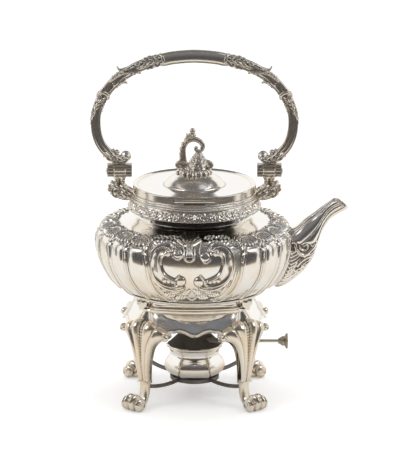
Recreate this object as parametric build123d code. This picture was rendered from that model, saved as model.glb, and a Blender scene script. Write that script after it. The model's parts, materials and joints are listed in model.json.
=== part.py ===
from build123d import *

import math
import os

# A lobed silver spirit kettle on its four-legged stand, with a spirit lamp under it.
# Millimetres. The kettle's axis is the Z axis, the floor is z = 0, the spout points along +X.

# Kettle
kettle_radius = 99.7
kettle_wall = 1.6
lobe_depth = 4.0
lobes_each_side = 8
panel_half_angle = 28.0
body_bottom_z = 115.0
shoulder_z = 171.0
shoulder_radius = 97.5
neck_z = 185.0
rim_z = 211.0
mouth_radius = 57.0
rim_radius = 64.6
base_ring_radius = 73.5
base_ring_z = 111.0
base_pan_radius = 62.0
seat_z = 109.0
seat_ring_inner = 46.5
seat_ring_outer = 50.0
neck_opening_radius = 55.5
strainer_z = 142.0
strainer_circle = 9.0

# Bowl sections: share of its height, radius, and depth of the creases as a share of lobe_depth
bowl_sections = [
    (0.0, 74.5, 0.0), (0.06, 80.0, 0.45), (0.18, 87.0, 0.8), (0.32, 92.0, 0.95), (0.48, 96.4, 1.0),
    (0.64, 99.0, 1.0), (0.78, kettle_radius, 1.0), (0.9, 99.0, 0.7), (1.0, shoulder_radius, 0.0),
]

# Raised work: cords in the creases, hoods and leaves on the shoulder, a frame on each panel
# Outlines seen from above are drawn at plan_z
relief = 1.3
plan_z = shoulder_z - 10.0
cord_width = 2.4
cord_sink = 0.3
cord_stop_at_spout = 20.0
hood_lower = (7.2, 95.5, 86.5)
hood_upper = (7.6, 92.0, 79.5)
crease_leaf = (65.0, 86.0, 2.6)
lobe_leaf = (64.0, 77.0, 3.6)
panel_leaf_angles = (-22.0, 22.0)
panel_middle_x = -2.6
frame_outer = [
    (25.5, 173.0), (30.5, 175.4), (37.5, 173.4), (41.5, 166.8), (42.5, 157.2),
    (39.5, 146.6), (32.5, 139.4), (24.0, 135.3), (13.0, 134.2),
]
frame_inner = [
    (14.5, 142.6), (21.5, 146.5), (27.3, 152.2), (29.6, 160.0), (28.5, 166.3), (25.0, 170.4),
]
frame_buttons = [(-14.2, 169.0, 5.4), (12.0, 166.0, 5.4), (-10.3, 141.0, 5.2), (6.6, 140.6, 5.2)]
palmette = [
    (-5.5, 89.0), (-12.5, 78.0), (-10.5, 69.0), (-1.5, 65.0), (5.5, 69.0), (7.5, 78.0), (2.5, 89.0),
]

# Spout: upper and lower outline points seen from the side, and half the width at each pair
spout_wall = 1.4
spout_stations = [
    ((86.0, 168.0), (75.0, 110.5), 25.0),
    ((98.5, 172.5), (90.0, 114.0), 21.0),
    ((109.5, 181.2), (104.0, 123.5), 17.0),
    ((118.0, 187.0), (115.0, 135.0), 13.5),
    ((125.0, 192.5), (121.5, 149.0), 11.0),
    ((131.0, 197.0), (127.5, 168.5), 9.0),
    ((136.5, 200.5), (137.0, 183.0), 8.0),
    ((141.5, 203.0), (153.5, 193.3), 8.6),
]
strainer_hole_radius = 2.6
nozzle_start = 4

# Lid
lid_radius = 61.6
lid_top_z = 218.4
dome_top_z = 231.0
lid_sheet = 1.2
lid_hinge_y = -58.6
lid_hinge_z = 214.8
lid_knuckle_radius = 2.3
lid_pin_radius = 0.9
lid_middle_half = 10.0
lid_hinge_half = 20.0
finial_top_z = 275.0

# Handle
handle_pivot_x = 74.6
handle_pivot_z = 230.5
handle_knuckle_radius = 6.0
handle_middle_half = 6.0
handle_hinge_half = 12.0
handle_pin_radius = 1.75
handle_depth = 11.0
handle_thickness = 13.0
crown_z = 349.5
grip_half = 31.0
grip_end_z = 346.5
arm_points = [(60.0, 336.0), (85.0, 316.5), (98.2, 281.0), (91.5, 254.0), (80.0, 246.0)]
volute_centre = (72.8, 245.6)
volute_radius = 7.6

# Stand: each plan section is a cushion square, given by half its width at the middle of a
# side and by the x and y of its corner
skirt_sections = [
    (76.5, 73.5, 52.0), (80.0, 72.0, 51.6), (84.0, 68.5, 51.0),
    (88.0, 63.5, 50.4), (93.0, 59.0, 50.0), (98.0, 57.5, 49.7),
]
collar_sections = [
    (98.0, 57.5, 49.7), (101.0, 58.2, 50.2), (103.0, 54.5, 47.5),
    (107.5, 54.0, 47.0), (109.0, 55.0, 48.0),
]
stand_sheet = 2.0
collar_mouth_radius = 45.0
scallop_radius = 7.0
scallop_offset = 13.0

# Legs, in the upright plane at 45 degrees: radius and height
leg_outer = [
    (72.0, 91.0), (77.0, 86.0), (77.5, 77.0), (77.0, 62.0), (76.0, 46.0),
    (73.5, 30.0), (74.0, 18.0), (78.0, 9.0), (86.0, 4.0),
]
leg_inner = [
    (86.0, 0.0), (76.0, 0.0), (70.0, 5.0), (66.8, 17.0), (66.8, 30.0),
    (69.0, 46.0), (70.5, 62.0), (66.0, 77.0), (64.0, 91.0),
]
leg_half_widths = [
    (91.0, 4.0), (89.0, 12.0), (84.0, 24.0), (80.0, 31.0), (75.0, 29.0), (71.0, 20.0),
    (64.0, 15.0), (50.0, 10.5), (34.0, 7.0), (18.0, 6.0), (0.0, 8.0),
]
fan_scroll_radius = 4.6
fan_scroll = (30.5, 78.0)
foot_radius = 8.8
foot_centre = (87.5, 8.5)
toe_count = 4
toe_width = 5.9

# Lamp: height and corner radius of the six-sided bowl
lamp_sections = [
    (20.5, 25.0), (24.8, 29.2), (31.0, 30.8), (37.5, 29.8),
    (43.5, 26.4), (47.0, 24.8), (49.5, 26.6), (52.0, 27.4),
]
lamp_side_bulge = 1.6
lamp_sheet = 1.0
lamp_base_radius = 18.6
lamp_base_z = 14.5
ring_inner = 19.0
ring_outer = 24.5
ring_bottom_z = 16.5
ring_top_z = 20.5
lamp_cover_z = 46.0
cone_foot_radius = 26.6
cone_top_radius = 12.5
cone_top_z = 66.0
cone_wall = 1.2
wick_tube_outer = 6.4
wick_tube_inner = 5.4
wick_radius = 5.2
wick_top_z = 66.5
wick_tube_top_z = 63.0
sleeve_inner = 6.7
sleeve_outer = 7.9
sleeve_bottom_z = 48.5
sleeve_top_z = 60.0
stretcher_radius = 2.0

# Wick regulator: a small pinion on the control rod lifts the sleeve by its rack
gear_module = 0.6
pinion_teeth = 8
pinion_radius = gear_module * pinion_teeth / 2
tooth_half_width = 0.34
tooth_reach = 0.45
tooth_root = 0.65
rack_pitch_y = -9.6
rod_y = rack_pitch_y - pinion_radius
rod_z = 58.0
rod_radius = 1.65
rod_end_x = 84.0
knob_end_x = 94.0
knob_radius = 8.0
bush_outer = 3.0

# Tilting hinge between kettle and stand
tilt_x = 55.0
tilt_z = 107.0
tilt_knuckle_radius = 2.6
tilt_pin_radius = 1.1
tilt_lug_y = [34.4, 37.4, 37.6, 42.8, 43.0, 46.0]

running_gap = 0.05


def save(name, shape):
    solids = shape.solids()
    body = solids[0] if len(solids) == 1 else Compound(children=list(solids))
    body.label = name
    export_step(body, "parts/" + name + ".step")
    print(name, len(solids), round(sum(solid.volume for solid in solids), 1))


def turned(points):
    """Turns a closed outline of radius and height about the Z axis."""
    outline = Polyline(*[(radius, 0, z) for radius, z in points], close=True)
    return revolve(make_face(outline), Axis.Z)


def flat_cut(points, depth, y=0.0):
    """Extrudes an outline of x and z by depth, centred on y."""
    outline = Polyline(*[(x, y - depth / 2, z) for x, z in points], close=True)
    return extrude(make_face(outline), amount=depth, dir=(0, 1, 0))


def block(low, high):
    size = [top - bottom for bottom, top in zip(low, high)]
    centre = [(top + bottom) / 2 for bottom, top in zip(low, high)]
    return Pos(*centre) * Box(*size)


def rod_along_x(x0, x1, y, z, radius):
    return Pos((x0 + x1) / 2, y, z) * Rot(0, 90, 0) * Cylinder(radius, x1 - x0)


def rod_along_y(y0, y1, x, z, radius):
    return Pos(x, (y0 + y1) / 2, z) * Rot(90, 0, 0) * Cylinder(radius, y1 - y0)


def pipe(outer, inner, z0, z1):
    return turned([(inner, z0), (outer, z0), (outer, z1), (inner, z1)])


def polar(radius, degrees, z):
    angle = math.radians(degrees)
    return (radius * math.cos(angle), radius * math.sin(angle), z)


def ring_of_arcs(corners, middles):
    """A closed wire of arcs, each from one corner to the next through a middle."""
    edges = []
    for index, middle in enumerate(middles):
        following = corners[(index + 1) % len(corners)]
        edges.append(ThreePointArc(corners[index], middle, following))
    return Wire(edges)


def lobe_angles():
    """The angles of the creases between the lobes, from the right end of the back panel."""
    lobe = (180.0 - 2 * panel_half_angle) / lobes_each_side
    left = [90.0 + panel_half_angle + lobe * step for step in range(lobes_each_side + 1)]
    right = [270.0 + panel_half_angle + lobe * step for step in range(lobes_each_side + 1)]
    return left + right


def lobed_wire(z, radius, depth):
    angles = lobe_angles()
    corners = [polar(radius - depth, angle, z) for angle in angles]
    turned_on = angles[1:] + [angles[0] + 360.0]
    middles = [polar(radius, (start + end) / 2, z) for start, end in zip(angles, turned_on)]
    return ring_of_arcs(corners, middles)


def bowl_height(share):
    return body_bottom_z + (shoulder_z - body_bottom_z) * share


def lobed_bowl(inset):
    """The lobed part of the kettle, as a filled solid. A negative inset makes it larger."""
    wires = []
    for share, radius, depth in bowl_sections:
        wires.append(lobed_wire(bowl_height(share), radius - inset, lobe_depth * depth))
    return Solid.make_loft(wires)


def crease_cords():
    """Upright cords that fill the bottom of the creases, all but those behind the spout."""
    crest = [(radius - cord_sink * lobe_depth * depth, 0, bowl_height(share))
             for share, radius, depth in bowl_sections]
    top, foot = (0, 0, shoulder_z), (0, 0, body_bottom_z)
    outline = Wire([Spline(*crest), Line(crest[-1], top), Line(top, foot), Line(foot, crest[0])])
    filled = revolve(Face(outline), Axis.Z)
    cord = filled & block((60.0, -cord_width / 2, body_bottom_z), (110.0, cord_width / 2, shoulder_z))
    cords = []
    for angle in lobe_angles():
        from_spout = abs((angle + 180.0) % 360.0 - 180.0)
        if from_spout > cord_stop_at_spout:
            cords.append(Rot(0, 0, angle) * cord)
    return cords


def upright(edges):
    """Extrudes a closed outline, seen from above, through the shoulder's height."""
    return extrude(Face(Wire(edges)), amount=40.0, dir=(0, 0, 1))


def leaf_from_above(inner, outer, half_width):
    """A pointed leaf on the +X side, from one radius to another."""
    z = plan_z
    root, tip, middle = (inner, 0, z), (outer, 0, z), (inner + outer) / 2
    return upright([
        ThreePointArc(root, (middle, half_width, z), tip),
        ThreePointArc(tip, (middle, -half_width, z), root),
    ])


def hood_from_above():
    """The raised hood over the top of a lobe on the +X side."""
    z = plan_z
    angle0, end0, middle0 = hood_lower
    angle1, end1, middle1 = hood_upper
    a, b = polar(end0, -angle0, z), polar(end0, angle0, z)
    c, d = polar(end1, angle1, z), polar(end1, -angle1, z)
    return upright([
        ThreePointArc(a, (middle0, 0, z), b),
        Line(b, c),
        ThreePointArc(c, (middle1, 0, z), d),
        Line(d, a),
    ])


def shoulder_work(grown):
    """Hoods and leaves round the shoulder."""
    hood, between, above = (grown & prism for prism in (
        hood_from_above(), leaf_from_above(*crease_leaf), leaf_from_above(*lobe_leaf)))
    pads = []
    for start in (90.0 + panel_half_angle, 270.0 + panel_half_angle):
        lobe = (180.0 - 2 * panel_half_angle) / lobes_each_side
        for step in range(lobes_each_side):
            middle = start + lobe * (step + 0.5)
            pads += [Rot(0, 0, middle) * hood, Rot(0, 0, middle) * above]
        for step in range(lobes_each_side + 1):
            pads.append(Rot(0, 0, start + lobe * step) * between)
    for angle in panel_leaf_angles:
        pads += [Rot(0, 0, 90.0 + angle) * above, Rot(0, 0, 270.0 + angle) * above]
    return pads


def panel_prisms():
    """The frame of the front panel with its buttons, as prisms that pass through the panel."""
    depth = 60.0
    y = -2 * depth
    prisms = []
    for side in (-1, 1):
        outer = [(panel_middle_x + side * x, y, z) for x, z in frame_outer]
        inner = [(panel_middle_x + side * x, y, z) for x, z in frame_inner]
        outline = Wire([
            Spline(*outer), Line(outer[-1], inner[0]), Spline(*inner), Line(inner[-1], outer[0]),
        ])
        prisms.append(extrude(Face(outline), amount=depth, dir=(0, 1, 0)))
    for x, z, radius in frame_buttons:
        prisms.append(rod_along_y(y, y + depth, panel_middle_x + x, z, radius))
    return prisms


def palmette_prism():
    z = plan_z
    points = [(panel_middle_x + x, -radius, z) for x, radius in palmette]
    return upright([Spline(*points), Line(points[-1], points[0])])


def both_panels(grown, prisms):
    """What grown leaves of each prism on the front panel, and its mirror image on the back one."""
    front = [solid for prism in prisms for solid in (grown & prism).solids()]
    return front + [mirror(solid, about=Plane.XZ) for solid in front]


def kettle_shoulder(inset):
    drop = inset * 0.9
    outline = [
        (0.0, shoulder_z),
        (shoulder_radius - inset, shoulder_z),
        (shoulder_radius - 4.5 - inset, 175.5 - drop),
        (81.0 - inset, 179.2 - drop),
        (67.0 - inset, 181.8 - drop),
        (59.0 - inset, neck_z - drop),
        (0.0, neck_z - drop),
    ]
    return turned(outline)


def spout_solid(stations, inset):
    wires = []
    for upper, lower, half_width in stations:
        centre = ((upper[0] + lower[0]) / 2, 0, (upper[1] + lower[1]) / 2)
        up = (upper[0] - lower[0], 0, upper[1] - lower[1])
        half_height = math.hypot(up[0], up[2]) / 2
        normal = Vector(0, 1, 0).cross(Vector(*up))
        plane = Plane(origin=centre, x_dir=(0, 1, 0), z_dir=normal)
        ellipse = plane * Ellipse(half_width - inset, half_height - inset)
        wires.append(ellipse.face().outer_wire())
    return Solid.make_loft(wires)


def make_kettle_shell():
    """Body, shoulder, base, neck, border, rim and spout. Returns what the handle's lugs are fitted to."""
    prisms = panel_prisms()
    bowl = lobed_bowl(0.0) + crease_cords() + both_panels(lobed_bowl(-relief), prisms)
    floor_slab = Pos(0, 0, body_bottom_z) * Cylinder(kettle_radius, 2 * kettle_wall)
    body = bowl - (lobed_bowl(kettle_wall) - floor_slab)
    body = body - Pos(0, 0, body_bottom_z) * Cylinder(base_pan_radius, 4 * kettle_wall)
    holes = [(0.0, strainer_z)]
    for step in range(6):
        y, along, _ = polar(strainer_circle, 60.0 * step, 0.0)
        holes.append((y, strainer_z + along))
    for y, z in holes:
        body = body - rod_along_x(70.0, 104.0, y, z, strainer_hole_radius)
    save("kettle_body", body)

    grown = kettle_shoulder(-relief)
    panel_pads = both_panels(grown, prisms + [palmette_prism()])
    domed = kettle_shoulder(0.0) + shoulder_work(grown) + panel_pads
    opening = Pos(0, 0, neck_z) * Cylinder(neck_opening_radius, 6 * kettle_wall)
    save("kettle_shoulder", domed - kettle_shoulder(kettle_wall) - opening)
    filled = bowl + domed

    moulding = turned([
        (base_pan_radius, base_ring_z),
        (base_ring_radius - 1.5, base_ring_z),
        (base_ring_radius, base_ring_z + 1.2),
        (base_ring_radius, base_ring_z + 2.8),
        (base_ring_radius - 1.5, body_bottom_z),
        (base_pan_radius, body_bottom_z),
    ])
    save("base_moulding", moulding)
    pan_z = body_bottom_z - kettle_wall
    base = turned([
        (0.0, pan_z),
        (seat_ring_inner, pan_z),
        (seat_ring_inner, seat_z),
        (seat_ring_outer, seat_z),
        (seat_ring_outer, pan_z),
        (base_pan_radius, pan_z),
        (base_pan_radius, body_bottom_z + kettle_wall),
        (base_pan_radius - 2.0, body_bottom_z + kettle_wall),
        (base_pan_radius - 3.0, body_bottom_z),
        (0.0, body_bottom_z),
    ])
    save("kettle_base", base)

    neck = turned([
        (59.0, neck_z), (55.6, 187.0), (55.0, 189.5), (55.6, 192.0), (57.5, 194.0), (58.5, 205.0),
        (mouth_radius, 205.0), (56.0, 195.0), (53.6, 192.0), (53.2, 189.0),
        (neck_opening_radius, neck_z),
    ])
    save("neck_collar", neck)
    border = turned([
        (57.5, 194.0), (66.4, 194.0), (67.0, 195.3), (64.8, 199.0),
        (62.8, 203.0), (62.2, 205.0), (58.5, 205.0),
    ])
    save("neck_border", border)
    rim = turned([
        (mouth_radius, 205.0), (63.8, 205.0), (rim_radius, 206.4), (63.8, 208.0),
        (62.6, 208.6), (62.6, rim_z), (mouth_radius, rim_z),
    ])
    save("mouth_rim", rim)

    in_the_way = filled + moulding + Pos(0, 0, 140.0) * Cylinder(base_pan_radius, 70.0)
    lengths = {"spout": spout_stations[:nozzle_start + 1], "spout_nozzle": spout_stations[nozzle_start:]}
    for name, stations in lengths.items():
        tube = spout_solid(stations, 0.0) - spout_solid(stations, spout_wall) - in_the_way
        save(name, tube.solids().sort_by(SortBy.VOLUME)[-1])
    return rim + border


def make_handle_lugs(rim):
    """The cast lugs on the rim, each with the middle knuckle of a handle hinge."""
    core = Pos(0, 0, 203.0) * Cylinder(62.6, 16.0)
    for side, name in ((-1, "hinge_lug_left"), (1, "hinge_lug_right")):
        px = handle_pivot_x
        shape = flat_cut([
            (60.0, 204.5), (70.0, 203.5), (83.0, 205.0), (87.0, 209.0), (85.5, 214.0), (81.0, 217.5),
            (80.1, 220.5), (80.1, handle_pivot_z), (69.1, handle_pivot_z), (69.1, 220.5), (66.5, 217.5),
            (63.2, 215.0), (63.2, 209.5), (60.0, 208.5),
        ], 9.0)
        half = handle_middle_half
        shape = shape + rod_along_x(px - half, px + half, 0, handle_pivot_z, handle_knuckle_radius)
        shape = shape + Pos(74.5, 0, 210.8) * scale(Sphere(1.0), by=(10.5, 7.5, 5.5))
        bore = handle_pin_radius + running_gap
        shape = shape - rod_along_x(px - 20, px + 20, 0, handle_pivot_z, bore)
        shape = shape - core - rim
        if side < 0:
            shape = mirror(shape, about=Plane.YZ)
        save(name, shape)


def make_lid():
    cover = turned([
        (60.2, rim_z), (lid_radius, rim_z), (lid_radius, lid_top_z), (60.0, lid_top_z), (45.0, 216.6),
        (34.0, 217.2), (29.4, 219.0), (25.5, 222.5), (20.0, 226.2), (12.0, 229.6), (0.0, dome_top_z),
        (0.0, dome_top_z - lid_sheet), (11.6, 228.4), (19.4, 225.2), (24.6, 221.7), (28.6, 218.0),
        (33.6, 216.0), (45.0, 215.4), (59.9, 217.1), (60.2, 217.1),
    ])
    notch = block((-lid_hinge_half - 0.6, -64.0, rim_z - 6), (lid_hinge_half + 0.6, -56.0, lid_top_z + 1))
    stud_radius = 2.0
    cover = cover - notch - Pos(0, 0, dome_top_z) * Cylinder(stud_radius, 8.0)
    save("lid_cover", cover)

    bezel = turned([
        (55.0, 207.0), (56.2, 207.0), (56.2, 211.4), (60.2, 211.4), (60.2, 212.8), (55.0, 212.8),
    ])
    bezel = bezel - block((-20.6, -64.0, 206.0), (20.6, -56.2, 214.0))
    save("lid_bezel", bezel)

    bore = lid_pin_radius + running_gap
    middle = rod_along_x(-lid_middle_half, lid_middle_half, lid_hinge_y, lid_hinge_z, lid_knuckle_radius)
    tab = block((-lid_middle_half, lid_hinge_y, 213.6), (lid_middle_half, -51.0, 216.8)) - cover
    tab = tab.solids().sort_by(SortBy.VOLUME)[-1]
    through = rod_along_x(-30, 30, lid_hinge_y, lid_hinge_z, bore)
    save("lid_hinge_knuckle", middle + tab - through)

    leaf = None
    for side in (-1, 1):
        x0, x1 = sorted((side * (lid_middle_half + 0.3), side * lid_hinge_half))
        half = rod_along_x(x0, x1, lid_hinge_y, lid_hinge_z, lid_knuckle_radius)
        half = half + block((x0, -60.6, rim_z), (x1, -57.2, lid_hinge_z))
        leaf = half if leaf is None else leaf + half
    save("lid_hinge_leaf", leaf - through)
    pin = rod_along_x(-lid_hinge_half, lid_hinge_half, lid_hinge_y, lid_hinge_z, lid_pin_radius)
    save("lid_hinge_pin", pin)

    inside = turned([
        (0.0, 222.0), (30.0, 222.0), (30.0, 217.0), (34.0, 217.2), (29.4, 219.0),
        (25.5, 222.5), (20.0, 226.2), (12.0, 229.6), (0.0, dome_top_z),
    ])
    collar = turned([
        (stud_radius, 224.0), (19.0, 224.0), (18.5, 228.0), (14.0, 231.0), (9.0, 232.6),
        (stud_radius, 232.6),
    ])
    save("finial_collar", (collar - inside - cover).solids().sort_by(SortBy.VOLUME)[-1])
    make_finial(stud_radius)
    nut = Pos(0, 0, 227.2) * extrude(RegularPolygon(4.2, 6), amount=4.0)
    nut = nut - Pos(0, 0, 228.0) * Cylinder(stud_radius, 12.0) - cover
    save("finial_nut", nut.solids().sort_by(SortBy.VOLUME)[-1])


def make_finial(stud_radius):
    """A cast scroll: a C-shaped stem with a hook, a ball on top, leaves and side volutes."""
    section_radius = 3.0
    stem = ThreePointArc((-3.0, 0, 236.0), (-10.5, 0, 250.0), (-3.5, 0, 264.5))
    hook = TangentArc((-3.5, 0, 264.5), (6.5, 0, 256.0), tangent=stem % 1)
    shape = None
    for path in (stem, hook):
        plane = Plane(origin=path @ 0, z_dir=path % 0)
        part = sweep(plane * Circle(section_radius), path=path)
        shape = part if shape is None else shape + part
    shape = shape + Pos(*(stem @ 1)) * Sphere(section_radius)
    shape = shape + Pos(6.8, 0, 255.5) * Rot(90, 0, 0) * Cylinder(4.2, 7.0)
    shape = shape + Pos(-2.0, 0, finial_top_z - 3.6) * Sphere(3.6)
    shape = shape + Pos(-2.2, 0, 268.0) * Cylinder(2.2, 5.0)
    foot = turned([(0.0, 232.6), (8.0, 232.6), (10.0, 236.0), (8.5, 240.0), (4.0, 244.0), (0.0, 245.0)])
    shape = shape + foot
    for side in (-1, 1):
        volute = Pos(side * 11.5, 0, 237.4) * Rot(90, 0, 0) * Cylinder(4.6, 8.0)
        shape = shape + volute
    stud = Pos(0, 0, 229.0) * Cylinder(stud_radius, 9.0)
    save("finial", shape + stud)


def handle_section(start, direction):
    plane = Plane(origin=start, x_dir=(0, 1, 0), z_dir=direction)
    return plane * RectangleRounded(handle_depth, handle_thickness, 3.4)


def make_handle():
    crown = ThreePointArc((-grip_half, 0, grip_end_z), (0, 0, crown_z), (grip_half, 0, grip_end_z))
    save("handle_grip", sweep(handle_section(crown @ 0, crown % 0), path=crown))

    start, direction = crown @ 1, crown % 1
    arm = None
    for x, z in arm_points:
        piece = TangentArc(start, (x, 0, z), tangent=direction)
        solid = sweep(handle_section(piece @ 0, piece % 0), path=piece)
        arm = solid if arm is None else arm + solid
        start, direction = piece @ 1, piece % 1
    half_depth = handle_depth / 2
    arm = arm + rod_along_y(-half_depth, half_depth, volute_centre[0], volute_centre[1], volute_radius)
    spurs = [
        [(60.0, 340.5), (70.0, 339.0), (79.0, 338.4), (81.0, 333.5), (86.0, 323.0), (76.0, 326.0)],
        [(60.0, 332.0), (66.0, 319.8), (72.0, 321.0), (76.0, 326.0)],
        [(45.0, 338.0), (52.0, 328.8), (59.0, 332.0)],
    ]
    for outline in spurs:
        arm = arm + flat_cut(outline, 7.0)
    plate_top = handle_pivot_z + handle_knuckle_radius + 1.8
    arm = arm - block((50.0, -10.0, plate_top - 20.0), (110.0, 10.0, plate_top))
    save("handle_arm_right", arm)
    save("handle_arm_left", mirror(arm, about=Plane.YZ))

    bore = handle_pin_radius + running_gap
    px, pz = handle_pivot_x, handle_pivot_z
    plate = block((px - handle_hinge_half, -5.2, plate_top - 1.6), (px + handle_hinge_half, 5.2, plate_top))
    end, shoulder = handle_hinge_half, handle_middle_half + 0.1
    for x0, x1 in ((px - end, px - shoulder), (px + shoulder, px + end)):
        plate = plate + rod_along_x(x0, x1, 0, pz, handle_knuckle_radius)
        plate = plate + block((x0, -4.0, pz + 2.5), (x1, 4.0, plate_top - 1.0))
    plate = plate - rod_along_x(px - 20, px + 20, 0, pz, bore)
    save("handle_plate_right", plate)
    save("handle_plate_left", mirror(plate, about=Plane.YZ))
    pin = rod_along_x(px - handle_hinge_half, px + handle_hinge_half, 0, pz, handle_pin_radius)
    pin = pin + rod_along_x(px + handle_hinge_half, px + handle_hinge_half + 1.2, 0, pz, 3.2)
    save("handle_pin_right", pin)
    save("handle_pin_left", mirror(pin, about=Plane.YZ))


def cushion_solid(sections, inset):
    wires = []
    for z, side, corner in sections:
        s, c = side - inset, corner - inset
        corners = [(c, -c, z), (c, c, z), (-c, c, z), (-c, -c, z)]
        middles = [(s, 0, z), (0, s, z), (-s, 0, z), (0, -s, z)]
        wires.append(ring_of_arcs(corners, middles))
    return Solid.make_loft(wires, ruled=True)


def make_stand_top():
    skirt_filled = cushion_solid(skirt_sections, 0.0)
    skirt = skirt_filled - cushion_solid(skirt_sections, stand_sheet)
    edge_z = skirt_sections[0][0]
    for offset in (-scallop_offset, scallop_offset):
        skirt = skirt - rod_along_x(-100, 100, offset, edge_z, scallop_radius)
        skirt = skirt - rod_along_y(-100, 100, offset, edge_z, scallop_radius)
    save("stand_skirt", skirt)

    collar_filled = cushion_solid(collar_sections, 0.0)
    hollow = cushion_solid(collar_sections[:4], stand_sheet)
    collar = collar_filled - hollow - Pos(0, 0, 104.0) * Cylinder(collar_mouth_radius, 20.0)
    save("stand_collar", collar)
    return skirt_filled, collar_filled


def make_legs(skirt_filled):
    side = turned(leg_outer + leg_inner)
    right = [(half, z) for z, half in leg_half_widths]
    left = [(-half, z) for z, half in reversed(leg_half_widths)]
    outline = Polyline(*[(50.0, t, z) for t, z in right + left], close=True)
    front = extrude(make_face(outline), amount=50.0, dir=(1, 0, 0))
    for sign in (-1, 1):
        scroll = rod_along_x(50.0, 100.0, sign * fan_scroll[0], fan_scroll[1], fan_scroll_radius)
        front = front + scroll
    leg = (side & front).solids().sort_by(SortBy.VOLUME)[-1]
    for toe in range(toe_count):
        y = (toe - (toe_count - 1) / 2) * toe_width
        y0, y1 = y - toe_width / 2, y + toe_width / 2
        disc = rod_along_y(y0, y1, foot_centre[0], foot_centre[1], foot_radius)
        leg = leg + fillet(disc.edges().filter_by(GeomType.CIRCLE), 1.8)
    leg = leg - block((0, -50, -20), (150, 50, 0))
    names = {45: "leg_back_right", 135: "leg_back_left", 225: "leg_front_left", 315: "leg_front_right"}
    legs = {}
    for angle, name in names.items():
        placed = Rot(0, 0, angle) * leg - skirt_filled
        legs[angle] = placed.solids().sort_by(SortBy.VOLUME)[-1]
        save(name, legs[angle])
    return legs


def make_lamp_holder(legs):
    ring = pipe(ring_outer, ring_inner, ring_bottom_z, ring_top_z)
    save("lamp_ring", ring)
    bars = []
    path = ThreePointArc((23.0, 0, 18.5), (44.0, 0, 17.4), (69.0, 0, 22.0))
    bar = sweep(Plane(origin=path @ 0, z_dir=path % 0) * Circle(stretcher_radius), path=path)
    ring_height = ring_top_z - ring_bottom_z
    filled_ring = Pos(0, 0, ring_bottom_z + ring_height / 2) * Cylinder(ring_outer, ring_height)
    for angle, leg in legs.items():
        placed = Rot(0, 0, angle) * bar - filled_ring - leg
        bars.append(placed.solids().sort_by(SortBy.VOLUME)[-1])
    save("stretcher_bars", Compound(children=bars))


def hexagon_wire(z, radius):
    corners = [polar(radius, 60.0 * k, z) for k in range(6)]
    inner = radius * math.cos(math.pi / 6) + lamp_side_bulge
    middles = [polar(inner, 60.0 * k + 30.0, z) for k in range(6)]
    return ring_of_arcs(corners, middles)


def make_lamp():
    outer = Solid.make_loft([hexagon_wire(z, radius) for z, radius in lamp_sections])
    inner = Solid.make_loft([hexagon_wire(z, radius - lamp_sheet) for z, radius in lamp_sections])
    floor = Pos(0, 0, ring_top_z) * Cylinder(40.0, 2 * lamp_sheet)
    top = lamp_sections[-1][0]
    bowl = outer - (inner - floor)
    save("lamp_bowl", bowl)
    base_height = ring_top_z - lamp_base_z
    base = Pos(0, 0, lamp_base_z + base_height / 2) * Cylinder(lamp_base_radius, base_height)
    save("lamp_base", base)

    slab = Pos(0, 0, lamp_cover_z) * Cylinder(40.0, lamp_sheet)
    cover = (slab & inner) - Pos(0, 0, lamp_cover_z) * Cylinder(wick_tube_outer, 10.0)
    save("lamp_cover", cover)
    tube = pipe(wick_tube_outer, wick_tube_inner, 26.0, wick_tube_top_z)
    save("wick_tube", tube)
    save("wick", Pos(0, 0, (23.0 + wick_top_z) / 2) * Cylinder(wick_radius, wick_top_z - 23.0))

    cone = turned([
        (cone_foot_radius, top),
        (cone_top_radius, cone_top_z),
        (cone_top_radius - cone_wall, cone_top_z),
        (cone_foot_radius - 1.3 * cone_wall, top),
    ])
    cone = cone & Pos(0, 0, 60.0) * Cylinder(40.0, 30.0)
    flange = Pos(0, 0, top + 0.5) * Cylinder(27.0, 1.0)
    flange = flange & hexagon_prism(top, top + 1.0, lamp_sections[-1][1])
    flange = flange - Pos(0, 0, top) * Cylinder(25.0, 6.0)
    bush_x0, bush_x1 = 8.0, 23.5
    bush = rod_along_x(bush_x0, bush_x1, rod_y, rod_z, bush_outer)
    cone = cone + flange - bush
    save("burner_cone", cone)
    save("rod_bush", bush - rod_along_x(0, 40, rod_y, rod_z, rod_radius + running_gap))
    make_regulator()


def hexagon_prism(z0, z1, radius):
    return Solid.make_loft([hexagon_wire(z0, radius), hexagon_wire(z1, radius)], ruled=True)


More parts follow.
